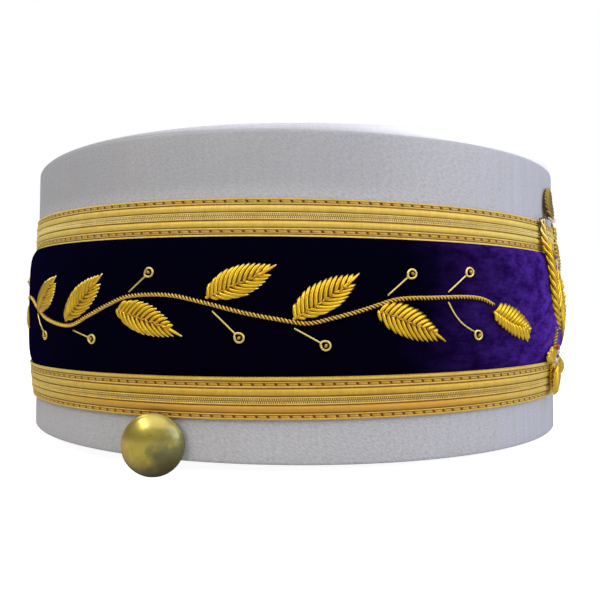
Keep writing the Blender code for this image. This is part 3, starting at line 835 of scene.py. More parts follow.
def hold(shader, constants):
    """Set what a shader keeps the same all over the surface."""
    for socket, value in constants.items():
        shader.inputs[socket].default_value = (*value, 1.0) if isinstance(value, tuple) else value
    return shader


class Finish:
    """A material and the nodes behind its shader."""

    def __init__(self, name, constants):
        self.material = bpy.data.materials.new(name)
        self.material.use_nodes = True
        self.tree = self.material.node_tree
        self.shader = hold(self.tree.nodes["Principled BSDF"], constants)

    def node(self, kind, settings=None, inputs=(), output=0):
        made_node = self.tree.nodes.new(kind)
        for name, value in (settings or {}).items():
            setattr(made_node, name, value)
        pairs = inputs.items() if isinstance(inputs, dict) else enumerate(inputs)
        for name, value in pairs:
            socket = made_node.inputs[name]
            if isinstance(value, Shade):
                self.tree.links.new(value.socket, socket)
            elif isinstance(value, tuple) and len(value) == 3 and socket.type == "RGBA":
                socket.default_value = (*value, 1.0)
            else:
                socket.default_value = value
        return Shade(self, made_node.outputs[output])

    def second(self, constants):
        """Another shader of the same finish, to blend with the first."""
        return hold(self.tree.nodes.new("ShaderNodeBsdfPrincipled"), constants)

    def blend(self, share, other):
        """Show the first shader where SHARE is 1 and the other one where it is 0."""
        both = self.tree.nodes.new("ShaderNodeMixShader")
        self.tree.links.new(share.socket, both.inputs[0])
        self.tree.links.new(other.outputs[0], both.inputs[1])
        self.tree.links.new(self.shader.outputs[0], both.inputs[2])
        self.tree.links.new(both.outputs[0], self.tree.nodes["Material Output"].inputs[0])

    def feed(self, socket, shade, shader=None):
        self.tree.links.new(shade.socket, (shader or self.shader).inputs[socket])

    def place(self):
        return self.node("ShaderNodeTexCoord", output="Object")

    def laid(self):
        return self.node("ShaderNodeUVMap", {"uv_map": "laid"})

    def noted(self, name):
        """What note_value kept under a name."""
        return self.node("ShaderNodeAttribute", {"attribute_name": name}, output="Fac")

    def parts(self, vector):
        return [self.node("ShaderNodeSeparateXYZ", inputs=[vector], output=axis) for axis in "XYZ"]

    def stretched(self, vector, scale):
        return self.node("ShaderNodeVectorMath", {"operation": "MULTIPLY"}, [vector, scale])

    def noise(self, vector, scale, detail=2.0, rough=0.5):
        return self.node("ShaderNodeTexNoise", {"noise_dimensions": "3D"},
                         {"Vector": vector, "Scale": scale, "Detail": detail, "Roughness": rough})

    def grain(self, vector, stretch, scale=1.0, detail=2.0, rough=0.5):
        """Noise that is STRETCH times finer along each axis."""
        return self.noise(self.stretched(vector, stretch), scale, detail, rough)

    def mix(self, share, first, second):
        """Colour between two colours."""
        return self.node("ShaderNodeMix", {"data_type": "RGBA"}, {0: share, 6: first, 7: second}, output=2)

    def bump(self, height, strength, distance, normal=None):
        inputs = {"Height": height, "Strength": strength, "Distance": distance}
        if normal is not None:
            inputs["Normal"] = normal
        return self.node("ShaderNodeBump", inputs=inputs)


def satin(name, tint, shade_tint, cool_light_tint, dim=None, ends=None):
    """Pale satin: a fine slanting crepe, faint upright ripples and cloudy patches.

    Painted cool light makes it bluer towards the front, with painted sheen on the ripples there. DIM is a
    darker colour of painted shade and the height in centimetres above which the side takes it on. ENDS has
    the colours of a crown's edge at the front and at the back: a painted highlight and a painted shadow.
    """
    finish = Finish(name, {"Sheen Weight": 0.2, "Sheen Roughness": 0.4, "Sheen Tint": (0.85, 0.87, 1.0),
                           "Specular IOR Level": 0.3})
    laid = finish.laid()
    around, height, _ = finish.parts(laid)
    _, forward, _ = finish.parts(finish.place())
    slanted = [around * 5.0 + height * 3.2, height * 19.0 - around * 10.0]
    slant = finish.node("ShaderNodeCombineXYZ", inputs=slanted)
    crepe = finish.noise(slant, 1.3, 4.0, 0.7)
    weave = finish.grain(laid, (40.0, 90.0, 1.0), 2.0, 2.0)
    cloudy = finish.grain(laid, (0.55, 0.5, 1.0), 1.0, 3.0)
    ripple = finish.grain(laid, (1.1, 0.12, 1.0), 1.3, 3.0)
    fine_ripple = finish.grain(laid, (3.2, 0.22, 1.0), 1.3, 3.0)
    patchy = finish.grain(laid, (0.35, 0.7, 1.0), 1.0, 2.0).between(0.42, 0.62)
    stripes = (around * 17.5 + cloudy * 3.0).sine() * 0.5 + 0.5
    thread = crepe.between(0.37, 0.63)
    colour = finish.mix(thread, shade_tint, tint)
    colour = finish.mix(stripes * patchy * 0.18, colour, tint)
    # Painted shade: the side is darker above that height, except towards the front.
    if dim:
        upper_shade_tint, above = dim
        painted_upper_shade = height.between(above, above + 0.6) * forward.between(-0.05, -0.02)
        colour = finish.mix(painted_upper_shade * (0.25 + 0.55 * cloudy), colour, upper_shade_tint)
    # Painted cool light: bluer towards the front, under the cool lamp, and a little in cloudy patches.
    cool = (0.0 - forward + 0.05 * (cloudy - 0.5)).between(-0.02, 0.09) * 0.75
    cool = cool + cloudy.between(0.5, 0.7) * 0.2
    colour = finish.mix(cool, colour, finish.mix(thread * 0.75, colour, cool_light_tint))
    # Painted sheen: upright ripples near the front take the cool colour where they catch the light.
    painted_ripple_sheen = (0.0 - forward).between(0.045, 0.075) * fine_ripple.between(0.36, 0.64)
    colour = finish.mix(painted_ripple_sheen * 0.6, colour, cool_light_tint)
    # Painted highlight on the crown's edge at the front, painted shadow on it at the back.
    if ends:
        front_highlight_tint, back_shade_tint = ends
        wide, long = CENTIMETRES * HALF_WIDTH, CENTIMETRES * HALF_LENGTH
        far = around * around * (1 / wide ** 2) + height * height * (1 / long ** 2)
        edge = far.between(0.80, 0.92)
        colour = finish.mix(forward.between(0.0, 0.055) * edge, colour, back_shade_tint)
        colour = finish.mix((0.0 - forward).between(0.008, 0.058) * edge, colour, front_highlight_tint)
    finish.feed("Base Color", colour)
    finish.feed("Roughness", 0.42 + 0.2 * crepe)
    bump = finish.bump(crepe + weave * 0.2 + stripes * patchy * 0.12, 0.65, 0.00016)
    finish.feed("Normal", finish.bump(ripple + fine_ripple * 0.3, 0.6, 0.0006, bump))
    return finish.material


def velvet():
    """Brushed purple velvet, with painted light: purple where lit at the front, shaded nearly black behind.
    """
    finish = Finish("purple_velvet", {"Roughness": 0.95, "Specular IOR Level": 0.0, "Sheen Weight": 0.85,
                                      "Sheen Roughness": 0.38, "Sheen Tint": (0.10, 0.025, 0.50)})
    # Shaded copy of the velvet: painted shade, shown towards the back.
    dark = finish.second({"Roughness": 0.95, "Specular IOR Level": 0.0, "Sheen Weight": 0.6,
                          "Sheen Roughness": 0.5, "Sheen Tint": (0.006, 0.004, 0.035)})
    laid = finish.laid()
    blotch = finish.grain(laid, (1.0, 1.5, 1.0), 1.7, 5.0, 0.66)
    grain = finish.grain(laid, (7.0, 9.0, 1.0), 1.0, 4.0, 0.7)
    nap = finish.grain(laid, (1.6, 22.0, 1.0), 1.0, 2.0)
    patch = finish.grain(laid, (0.5, 0.7, 1.0), 1.0, 2.0)
    pile = finish.grain(laid, (26.0, 26.0, 1.0), 2.0, 2.0)
    brushed = (blotch * 0.62 + grain * 0.24 + nap * 0.14).between(0.36, 0.68)
    _, forward, _ = finish.parts(finish.place())
    # Painted light: lit purple towards the front, shaded nearly black towards the back.
    painted_front_light = (0.0 - forward + 0.02 * (patch - 0.5)).between(0.030, 0.098)
    deep = finish.mix(painted_front_light, (0.0007, 0.0005, 0.0035), (0.022, 0.004, 0.10))
    bright = finish.mix(painted_front_light, (0.0009, 0.0007, 0.0050), (0.12, 0.038, 0.46))
    colour = finish.mix(brushed * 0.85, deep, bright)
    # Painted highlight: a bright, patchy purple sheen near the front.
    painted_glow = (0.0 - forward + 0.016 * (patch - 0.5)).between(0.076, 0.097)
    colour = finish.mix(painted_glow * blotch.between(0.33, 0.67) * 0.8, colour, (0.27, 0.10, 0.85))
    colour = finish.mix(pile.between(0.3, 0.8) * 0.45, colour, (0.0008, 0.0, 0.003))
    finish.feed("Base Color", colour)
    finish.feed("Base Color", colour, dark)
    bump = finish.bump(pile * 0.5 + blotch * 2.0, 0.3, 0.0002)
    finish.feed("Normal", bump)
    finish.feed("Normal", bump, dark)
    # Painted light: the lit copy towards the front, the shaded copy behind.
    finish.blend(painted_front_light * (0.35 + 0.65 * brushed), dark)
    return finish.material


def braid_gold(name, tint, warm_tint, groove_shade_tint, pale_tint, edge_tint, stain=None):
    """Woven metal braid: upright threads on its ribs, and painted shade where it lies low, in its grooves.

    PALE_TINT is its colour at front and back, a painted sheen there. EDGE_TINT is that of its pale bars and
    edges; on the outer edges it is partly a painted highlight. STAIN is a brown-orange colour and the
    heights in centimetres between which a rib has taken it on.
    """
    finish = Finish(name, {"Metallic": 0.45, "Specular IOR Level": 0.6})
    laid = finish.laid()
    _, height, _ = finish.parts(laid)
    threads = finish.grain(laid, (13.0, 1.4, 1.0), 1.0, 4.0, 0.75)
    slubs = finish.grain(laid, (5.0, 3.0, 1.0), 1.0, 4.0, 0.7)
    patches = finish.grain(laid, (1.4, 4.0, 1.0), 1.0, 3.0, 0.6)
    tarnish = finish.noise(finish.place(), 24.0, 3.0, 0.6)
    lines = finish.grain(laid, (0.6, 60.0, 1.0), 1.0, 2.0)
    _, forward, _ = finish.parts(finish.place())
    # Painted sheen: paler towards the cap's front and back.
    outer = forward.size().between(0.035, 0.088)
    mottle = threads.between(0.30, 0.70) * 0.45 + slubs.between(0.3, 0.7) * 0.3
    mottle = mottle + patches.between(0.35, 0.65) * 0.25
    colour = finish.mix(mottle, warm_tint, tint)
    colour = finish.mix(tarnish.between(0.45, 0.75) * 0.4, colour, warm_tint)
    colour = finish.mix(outer * (0.35 + 0.6 * mottle), colour, pale_tint)
    if stain:
        stain_tint, low, high = stain
        within = height.between(low - 0.02, low + 0.03) * height.between(high + 0.02, high - 0.03)
        colour = finish.mix(within * (1.0 - outer) * 0.8, colour, stain_tint)
    # Pale bars and edges; on the outer edges the paleness is partly a painted highlight.
    pale = finish.noted("pale")
    colour = finish.mix(pale * (0.25 + 0.55 * mottle), colour, edge_tint)
    # Painted shade: darker where the surface lies low, in grooves and at the pads' feet.
    relief = finish.noted("relief")
    colour = finish.mix(relief.between(0.50, 0.06), colour, groove_shade_tint)
    finish.feed("Base Color", colour)
    finish.feed("Roughness", 0.50 + 0.2 * threads)
    finish.feed("Normal", finish.bump(threads + slubs * 0.8 + lines * 0.5, 0.8, 0.00016))
    return finish.material


def purl_gold(name, tint, shade_tint, end_tint, pitch=0.30, metallic=0.90, roughness=0.27):
    """Coiled wire: fine rings along each strand, a tone of its own for each, and paler cut ends."""
    finish = Finish(name, {"Metallic": metallic, "Specular IOR Level": 0.6})
    run = finish.noted("run")
    tone = finish.noted("tone")
    coil = (run * (2 * math.pi / pitch)).sine() * 0.5 + 0.5
    wear = finish.noise(finish.place(), 420.0, 2.0)
    colour = finish.mix(tone * 0.6 + wear * 0.4, shade_tint, tint)
    # Painted shade in the grooves between the coil's rings.
    colour = finish.mix((1.0 - coil) * 0.35, colour, shade_tint)
    way = finish.noted("way")
    colour = finish.mix(way.between(0.86, 0.98) * 0.7, colour, end_tint)
    finish.feed("Base Color", colour)
    finish.feed("Roughness", roughness + 0.12 * wear)
    finish.feed("Normal", finish.bump(coil, 0.35, 0.00005))
    return finish.material


def felt(name, tint):
    finish = Finish(name, {"Roughness": 0.8})
    fuzz = finish.noise(finish.place(), 900.0, 3.0)
    finish.feed("Base Color", finish.mix(fuzz, tint, tuple(0.5 * part for part in tint)))
    finish.feed("Normal", finish.bump(fuzz, 0.4, 0.0001))
    return finish.material


def silk(name, tint, shade_tint):
    """Floss laid in straight threads."""
    finish = Finish(name, {"Roughness": 0.35, "Sheen Weight": 0.4, "Sheen Tint": tint})
    threads = finish.grain(finish.laid(), (50.0, 3.0, 1.0), 1.0, 2.0, 0.7)
    finish.feed("Base Color", finish.mix(threads, shade_tint, tint))
    finish.feed("Normal", finish.bump(threads, 0.5, 0.0001))
    return finish.material


def bead_glass(name, tint):
    finish = Finish(name, {"Roughness": 0.12, "Coat Weight": 0.5})
    streak = finish.noise(finish.place(), 700.0, 1.0)
    finish.feed("Base Color", finish.mix(streak, tint, tuple(0.6 * part for part in tint)))
    return finish.material


def button_brass():
    """Domed brass: yellow olive, orange towards its back, with a grey-green patina in front and below.

    Painted shade darkens its upper front, and a painted reflection its bottom.
    """
    finish = Finish("button_brass", {"Metallic": 1.0, "Coat Weight": 0.35, "Coat Roughness": 0.11,
                                     "Coat IOR": 1.7})
    place = finish.place()
    low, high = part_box("button_right")
    middle = (low + high) / 2
    _, back, up = finish.parts(place)
    back = (back - middle.y) * (1 / BUTTON_RADIUS)
    up = (up - middle.z) * (1 / BUTTON_RADIUS)
    drift = finish.noise(place, 120.0, 3.0, 0.55) - 0.5
    cloud = finish.noise(place, 260.0, 3.0, 0.6)
    spots = finish.noise(place, 700.0, 2.0, 0.6)
    rubbing = finish.grain(place, (900.0, 900.0, 5000.0), 1.0, 2.0)
    colour = finish.mix(cloud.between(0.35, 0.65), (0.66, 0.53, 0.10), (0.56, 0.44, 0.07))
    colour = finish.mix((back + drift).between(0.35, 0.95) * 0.75, colour, (0.62, 0.36, 0.06))
    patina = (drift * 2.2 - back * 0.9 - up * 0.5).between(0.0, 0.8)
    colour = finish.mix(patina * 0.85, colour, (0.12, 0.13, 0.06))
    # Painted reflection: darker towards the bottom, as if the dome mirrored a dark floor.
    colour = finish.mix((drift * 0.8 - up).between(0.05, 0.9) * 0.92, colour, (0.09, 0.06, 0.018))
    # Painted shade over the dome's upper front, which dims the overhead lamp's reflection there.
    reflection_shade = (0.0 - back).between(-0.14, 0.06) * up.between(0.40, 0.64)
    colour = finish.mix(reflection_shade * 0.6, colour, (0.34, 0.28, 0.07))
    colour = finish.mix(spots.between(0.64, 0.74) * 0.5, colour, (0.20, 0.15, 0.05))
    finish.feed("Base Color", colour)
    finish.feed("Roughness", 0.29 + 0.15 * patina + 0.06 * spots)
    finish.feed("Normal", finish.bump(spots + rubbing * 0.4, 0.06, 0.0001))
    return finish.material


# Pieces

def make_wall(finish):
    """Satin wall: its foot and its top edge are turned over a card, so both are rounded."""
    heights = np.concatenate([[0.0, 0.12, 0.4], np.linspace(1.0, 88.4, 30), [89.0, 89.3, 89.4]]) * MM
    insets = []
    for height in heights:
        edge = min(height, WALL_HEIGHT - height)
        insets.append(WALL_FOLD * (1 - math.sqrt(max(0.0, 1 - max(0.0, 1 - edge / WALL_FOLD) ** 2))))
    rows = [(height, -inset) for height, inset in zip(heights, insets)]
    rows += [(height, inset - WALL_THICKNESS) for height, inset in zip(heights[::-1], insets[::-1])]
    wall = band("satin_wall", rows, wall_out, follows_trim=False)
    smooth(wall, 60.0)
    return finished(wall, finish, "wall_satin", "crown_side")


def shoulder_radius(angle):
    """The crown stands proud at the front and sinks to the rim at the back; ANGLE is from the front."""
    stands = float(np.interp(math.degrees(abs(angle)), EDGE_TABLE[:, 0], EDGE_TABLE[:, 2])) * MM
    return max(stands - float(edge_rise(angle)), LEAST_SHOULDER)


def crown_row(row, radius, rise):
    """Height and inset of one of the crown's rows, where its shoulder has the given radius."""
    kind, share = row
    foot, inset = WALL_HEIGHT + rise - CROWN_SEAT, CROWN_INSET
    if kind == "tuck":
        return foot - share * MM, inset + CROWN_TUCK * min(share, 1.0)
    turn = SHOULDER_TURN * (share if kind == "shoulder" else 1.0)
    height, inset = foot + radius * math.sin(turn), inset + radius * (1 - math.cos(turn))
    if kind == "shoulder":
        return height, inset
    return height + (CROWN_CENTRE - height) * (1 - (1 - share) ** 2), inset + share * (HALF_WIDTH - inset)


def make_crown(finish):
    """Crown: satin over card, rolled over the shoulder and rising to a shallow dome."""
    rows = [("tuck", 1.2), ("tuck", 0.4)]
    rows += [("shoulder", share) for share in np.linspace(0.0, 1.0, 14)]
    rows += [("dome", share) for share in np.linspace(0.03, 0.985, 26)]
    bpy.ops.mesh.primitive_circle_add(vertices=ROUND_STEPS, radius=1.0, fill_type="NOTHING")
    crown = made("satin_crown")
    angles = np.linspace(-math.pi, math.pi, ROUND_STEPS, endpoint=False)
    with editing(crown):
        shape = bmesh.from_edit_mesh(crown.data)
        ring = list(shape.verts)
        for number, row in enumerate(rows):
            if number:
                bpy.ops.mesh.extrude_edges_move()
                shape = bmesh.from_edit_mesh(crown.data)
                ring = [vertex for vertex in shape.verts if vertex.select]
            for vertex, angle in zip(ring, angles):
                height, inset = crown_row(row, shoulder_radius(angle), float(edge_rise(angle)))
                out = wall_out(WALL_HEIGHT) - inset
                vertex.co = (*oval_place(angle, out), height)
        bmesh.update_edit_mesh(crown.data)
        bpy.ops.mesh.edge_face_add()
        bpy.ops.mesh.select_all(action="SELECT")
        bpy.ops.mesh.normals_make_consistent(inside=False)
    note_flat(crown, axes=(0, 1))
    crown.data.transform(TO_FLOOR)
    apply_modifier(crown, "SOLIDIFY", thickness=CROWN_THICKNESS, offset=-1.0)
    smooth(crown, 50.0)
    return finished(crown, finish, "crown_satin", "crown_top")


def make_velvet(finish):
    """Padded velvet band; its edges run under the braids."""
    low, high = VELVET_LOW - VELVET_EDGE, VELVET_HIGH + VELVET_EDGE
    shares = 0.5 - 0.5 * np.cos(np.linspace(0.0, math.pi, VELVET_ROWS))
    rows = [(low, VELVET_EDGE)]
    rows += [(low + share * (high - low), float(velvet_swell(share))) for share in shares]
    rows += [(high, VELVET_EDGE)]
    strip = band("velvet_pile", rows, wall_out)
    smooth(strip, 60.0)
    return finished(strip, finish, "purple_velvet", "velvet_band")


def braid_height(braid, share):
    return (braid["outer"] + share * (braid["inner"] - braid["outer"])) * MM


def strip_shares(strip, braid):
    """Share of the braid's width at which each point of its strip lies, read back from the flat map."""
    mesh = strip.data
    uv = np.empty(len(mesh.loops) * 2)
    mesh.uv_layers["laid"].data.foreach_get("uv", uv)
    heights = np.zeros(len(mesh.vertices))
    heights[corner_points(mesh)] = uv.reshape(-1, 2)[:, 1] / CENTIMETRES
    return (heights / MM - braid["outer"]) / (braid["inner"] - braid["outer"])


def make_braid(name, braid):
    """Ribbed strip of the braid, without its ladder, stitches and picots."""
    rows, lifts, pales = [], [], []
    for start, end, height, pale in BRAID_RIBS:
        for step in RIB_SHARES:
            lift = BRAID_GROOVE + (height * MM - BRAID_GROOVE) * math.sin(math.pi * step) ** 0.45
            rows.append((braid_height(braid, start + step * (end - start)), lift - braid["sink"] * MM))
            lifts.append(lift)
            pales.append(pale)
    rows[0] = (rows[0][0], -0.6 * MM)
    rows[-1] = (rows[-1][0], -0.6 * MM)
    strip = band(name, rows, trim_out)
    shares = strip_shares(strip, braid)
    places = [start + step * (end - start) for start, end, _, _ in BRAID_RIBS for step in RIB_SHARES]
    note_value(strip, "relief", (np.interp(shares, places, lifts) - BRAID_GROOVE) / BRAID_FULL)
    note_value(strip, "pale", np.interp(shares, places, pales))
    smooth(strip, 60.0)
    return strip


def braid_row(name, braid, share, pitch, length, width, rise, lift, slant, sides=0.35, shift=0.0, pale=0.0):
    """Row of small pads all round a braid: one rounded block, repeated."""
    count = round(2 * HALF_GIRTH / pitch)
    pitch = 2 * HALF_GIRTH / count
    bpy.ops.mesh.primitive_cube_add(size=1.0)
    block = made(name)
    bpy.ops.transform.resize(value=(length, rise, width))
    bpy.ops.object.transform_apply(location=False, rotation=False, scale=True)
    with editing(block):
        bpy.ops.mesh.bevel(offset=sides * min(length, width, rise * 2), segments=1)
    start = (-HALF_GIRTH + pitch * (0.5 + shift), lift, braid_height(braid, share))
    lean = Matrix(((1, 0, slant, 0), (0, 1, 0, 0), (0, 0, 1, 0), (0, 0, 0, 1)))
    block.data.transform(Matrix.Translation(start) @ lean)
    apply_modifier(block, "ARRAY", count=count, use_relative_offset=False, use_constant_offset=True,
                   constant_offset_displace=(pitch, 0.0, 0.0))
    note_value(block, "relief", (coordinates(block.data)[:, 1] - BRAID_GROOVE) / BRAID_FULL)
    note_value(block, "pale", np.full(len(block.data.vertices), pale))
    block.data.transform(Matrix.Translation((0.0, -braid["sink"] * MM, 0.0)))
    lay_round(block, trim_out, follows_trim=True)
    smooth(block, 80.0)
    return block


def hole_shadow_strip(name, braid, share):
    """Painted shadow: a dark strip that shows between a row's stitches, for the shade in its holes."""
    middle = braid_height(braid, share)
    first, last = middle - HOLE_SHADOW_HALF, middle + HOLE_SHADOW_HALF
    low, high = HOLE_SHADOW_LOW - braid["sink"] * MM, HOLE_SHADOW_HIGH - braid["sink"] * MM
    return band(name, [(first, low), (first, high), (last, high), (last, low)], trim_out)


def make_braids(gold):
    """Both braids, each with its ladder in the middle, its stitched edges and their picots."""
    for label, braid in (("upper", UPPER_BRAID), ("lower", LOWER_BRAID)):
        finish = gold[label]
        finished(make_braid(label + "_braid_weave", braid), finish, "gold_braid", label + "_braid")
        rungs = [braid_row(f"{label}_rungs_{number}", braid, share, shift=0.5 * number, **LADDER)
                 for number, share in enumerate(LADDER_ROWS)]
        finished(joined(rungs, label + "_braid_ladder"), finish, "gold_braid")
        stitches = [braid_row(f"{label}_stitches_{number}", braid, share, shift=0.3 * number, **STITCH)
                    for number, share in enumerate(STITCH_ROWS)]
        finished(joined(stitches, label + "_braid_stitches"), gold["stitch"], "gold_braid")
        # Painted shadow: dark strips in the holes of the stitch rows.
        holes = [hole_shadow_strip(f"{label}_holes_{number}", braid, share)
                 for number, share in enumerate(STITCH_ROWS)]
        finished(joined(holes, label + "_braid_holes"), gold["hole"], "gold_braid")
        picots = [braid_row(f"{label}_picots_{number}", braid, share, shift=0.4 * number, **PICOT)
                  for number, share in enumerate(PICOT_ROWS)]
        finished(joined(picots, label + "_braid_picots"), finish, "gold_braid")


def make_branch(side, sign, gold):
    """Laurel branch of one side: twisted stem, padded leaves and berries on stalks."""
    sink_from, sink_to, deeper = BACK_SINK
    route = smooth_rows(STEM_ROUTE, 400)
    route[:, 0] = np.minimum(route[:, 0], HALF_GIRTH / MM - 0.15)
    sinks = PILE_SINK + np.interp(route[:, 0], (sink_from, sink_to), (0.0, deeper))
    lift = STEM["ply"] + STEM["turn"] - sinks
    line = np.column_stack([route[:, 0], lift, route[:, 1]])
    paths = twisted(line, hand=sign, **STEM)
    thread_piece("stem_" + side, paths, gold["cord"], velvet_out, sign, 1, "stem_" + side, slot="gold_cord")
    # Painted shade: a dark tube inside the twisted stem, seen as shade between its plies.
    gap_shade = [wire(line, STEM_GAP_SHADE)]
    thread_piece(f"stem_{side}_gap_shade", gap_shade, gold["felt"], velvet_out, sign, 0, slot="gold_cord")
    chips = []
    for number, (base_s, base_z, tip_s, tip_z) in enumerate(LEAVES, start=1):
        form = FRONT_LEAF if number == 1 else RISING_LEAF if tip_z > base_z else HANGING_LEAF
        base, tip = (base_s, base_z), (tip_s, tip_z)
        sunk = -PILE_SINK - float(np.interp(base_s, (sink_from, sink_to), (0.0, deeper)))
        way = np.array([tip_s - base_s, tip_z - base_z])
        pad_ends = [np.array(base) + share * way for share in PAD_ENDS]
        groove = form.get("groove", 0.0)
        half, swell = form["half_width"][0] - PAD_INSET, form["height"] - PAD_SINK - 0.6 * groove
        pad = leaf_pad(f"pad_{side}_{number}", *pad_ends, half, swell, sunk)
        finished(lay_round(pad, velvet_out, sign), gold["felt"], "gold_bullion")
        strands = leaf_strands(base, tip, lift=sunk, **form)
        leaf = f"leaf_{side}_{number}"
        thread_piece(leaf + "_purl", strands, gold["purl"], velvet_out, sign, 2, leaf)
        if number > 1:
            stands = form["height"] + sunk + form["radius"][1] * 0.9 - groove
            chips += vein_chips(base, tip, stands, VEIN_CHIPS, vein=form["vein"])
    thread_piece(f"veins_{side}_purl", chips, gold["vein"], velvet_out, sign, 2)
    hearts = []
    for number, row in enumerate(BERRIES, start=1):
        stalk, ring, heart = berry_paths(*row)
        berry = f"berry_{side}_{number}"
        thread_piece(berry + "_purl", [stalk, ring], gold["pale_purl"], velvet_out, sign, 2, berry)
        hearts.append(heart)
    thread_piece(f"berry_hearts_{side}", hearts, gold["vein"], velvet_out, sign, 2)


def berry_paths(start_s, start_z, centre_s, centre_z, bow):
    """Stalk that runs into a ring, with a short chip of purl standing in the ring."""
    start, centre = np.array([start_s, start_z]), np.array([centre_s, centre_z])
    _, along, across, length = flat_frame(start, centre)
    ring, thick, stalk = BERRY["ring"], BERRY["wire"], BERRY["stalk"]
    points = []
    for t in np.linspace(0.0, 1.0, 9):
        place = start + along * t * (length - ring) + across * bow * math.sin(math.pi * t)
        points.append((place[0], stalk * 0.8, place[1]))
    stem = wire(points, stalk)
    points = []
    for turn in np.linspace(0.0, 2 * math.pi * 1.04, 26):
        drawn = ring * (1 + BERRY["point"] * max(math.cos(turn), 0.0) ** 3)
        place = centre - along * drawn * math.cos(turn) + across * ring * math.sin(turn)
        points.append((place[0], thick * 1.2, place[1]))
    loop = wire(points, thick)
    points = []
    for t in np.linspace(-1.0, 1.0, CHIP_POINTS):
        place = centre + across * BERRY["chip"] * t
        points.append((place[0], 0.85 - 0.25 * t * t, place[1]))
    chip = wire(points, np.array(CHIP_SWELL) * BERRY["chip"])
    return [stem, loop, chip]


def button_place(sign):
    """Where a button's shank meets the wall, and the way straight out from the wall there."""
    angle = math.copysign(float(np.interp(BUTTON_ROUND, GIRTH, GIRTH_ANGLES)), sign)
    out = wall_out(BUTTON_HEIGHT_UP) + GAP
    seat = Vector((*oval_place(angle, out), BUTTON_HEIGHT_UP))
    return seat, Vector((-HALF_LENGTH * math.sin(angle), -HALF_WIDTH * math.cos(angle), 0.0)).normalized()


def make_button(side, sign, finish):
    """Domed button with a rolled rim, spun about its own axis."""
    rows = [(share * BUTTON_RADIUS, SHANK_LENGTH + height * MM) for share, height in BUTTON_PROFILE]
    rows += [(SHANK_RADIUS, SHANK_LENGTH - 0.05 * MM), (SHANK_RADIUS, -0.2 * MM), (0.0, -0.2 * MM)]
    bpy.ops.mesh.primitive_plane_add(size=1.0)
    button = made(f"button_{side}_brass")
    with editing(button):
        bpy.ops.mesh.merge(type="CENTER")
        for number, (radius, height) in enumerate(rows):
            if number:
                bpy.ops.mesh.extrude_vertices_move()
            shape = bmesh.from_edit_mesh(button.data)
            for vertex in shape.verts:
                if vertex.select:
                    vertex.co = (radius, 0.0, height)
            bmesh.update_edit_mesh(button.data)
        bpy.ops.mesh.select_all(action="SELECT")
        bpy.ops.mesh.spin(steps=BUTTON_STEPS, angle=2 * math.pi, center=(0, 0, 0), axis=(0, 0, 1))
    close_seams(button)
    seat, outward = button_place(sign)
    down = Vector((0.0, 0.0, -1.0))
    outward = Matrix.Rotation(sign * BUTTON_TURN, 3, "Z") @ outward
    turned = Matrix((down, outward.cross(down), outward)).transposed()
    button.data.transform(TO_FLOOR @ Matrix.Translation(seat) @ turned.to_4x4())
    smooth(button, 50.0)
    return finished(button, finish, "brass", f"button_{side}")


# Crest

def arc_points(centre, radius, start, end, count, lift):
    """Flat points on an arc; angles are in degrees from straight up, towards the right side."""
    turns = np.radians(np.linspace(start, end, count))
    return np.column_stack([centre[0] + radius * np.sin(turns), np.full(count, lift),
                            centre[1] + radius * np.cos(turns)])


def oval_points(centre, half, count, lift):
    turns = np.linspace(0.0, 2 * math.pi, count)
    return np.column_stack([centre[0] + half[0] * np.cos(turns), np.full(count, lift),
                            centre[1] + half[1] * np.sin(turns)])


def about_boss(turn, wide, high):
    """Place about the boss, TURN from straight up."""
    return BOSS_CENTRE[0] + wide * math.sin(turn), BOSS_CENTRE[1] + high * math.cos(turn)


def make_boss(gold, silk_finish):
    """Padded silk boss in a twisted rim, with a small rosette of purl petals on it."""
    bpy.ops.mesh.primitive_uv_sphere_add(segments=64, ring_count=32, radius=1.0)
    boss = made("boss_silk")
    with editing(boss):
        bpy.ops.mesh.bisect(plane_co=(0, 0, 0), plane_no=(0, 1, 0), use_fill=True, clear_inner=True)
    co = coordinates(boss.data)
    co[:, 1] = BOSS_LIFT + BOSS_SWELL * np.maximum(co[:, 1], 0.0) ** 0.8
    co[:, 0] = BOSS_CENTRE[0] + co[:, 0] * (BOSS_HALF[0] - BOSS_INSET)
    co[:, 2] = BOSS_CENTRE[1] + co[:, 2] * (BOSS_HALF[1] - BOSS_INSET)
    place_points(boss.data, co * MM)
    close_seams(boss)
    lay_round(boss, crest_out)
    smooth(boss, 60.0)
    finished(boss, silk_finish, "boss_silk", "crest_boss")
    rims = []
    for inset, lift, ply, turn, pitch, count in BOSS_RIMS:
        half = (BOSS_HALF[0] - inset, BOSS_HALF[1] - inset)
        rims += twisted(oval_points(BOSS_CENTRE, half, count, lift), ply, turn, pitch)
    thread_piece("boss_rim", rims, gold["purl"], crest_out, 1, 1)
    petals = []
    for number in range(ROSETTE_PETALS):
        turn = 2 * math.pi * number / ROSETTE_PETALS
        base, tip = (about_boss(turn, *half) for half in (ROSETTE_INNER, ROSETTE_OUTER))
        petals += leaf_strands(base, tip, **ROSETTE_LEAF)
    thread_piece("boss_rosette", petals, gold["purl"], crest_out, 1, 1)


def bead_row(name, places, radius, finish):
    """Small round beads with a flattened hole end, at flat (round, lift, height) places in millimetres."""
    beads = []
    for number, place in enumerate(places):
        bpy.ops.mesh.primitive_uv_sphere_add(segments=10, ring_count=6, radius=radius * MM)
        bead = made(f"{name}_{number}")
        with editing(bead):
            bpy.ops.transform.resize(value=(1.0, 0.85, 1.0))
        bead.data.transform(Matrix.Translation(Vector(place) * MM))
        beads.append(bead)
    row = joined(beads, name)
    lay_round(row, crest_out)
    row.data.shade_smooth()
    return finished(row, finish, "boss_silk")


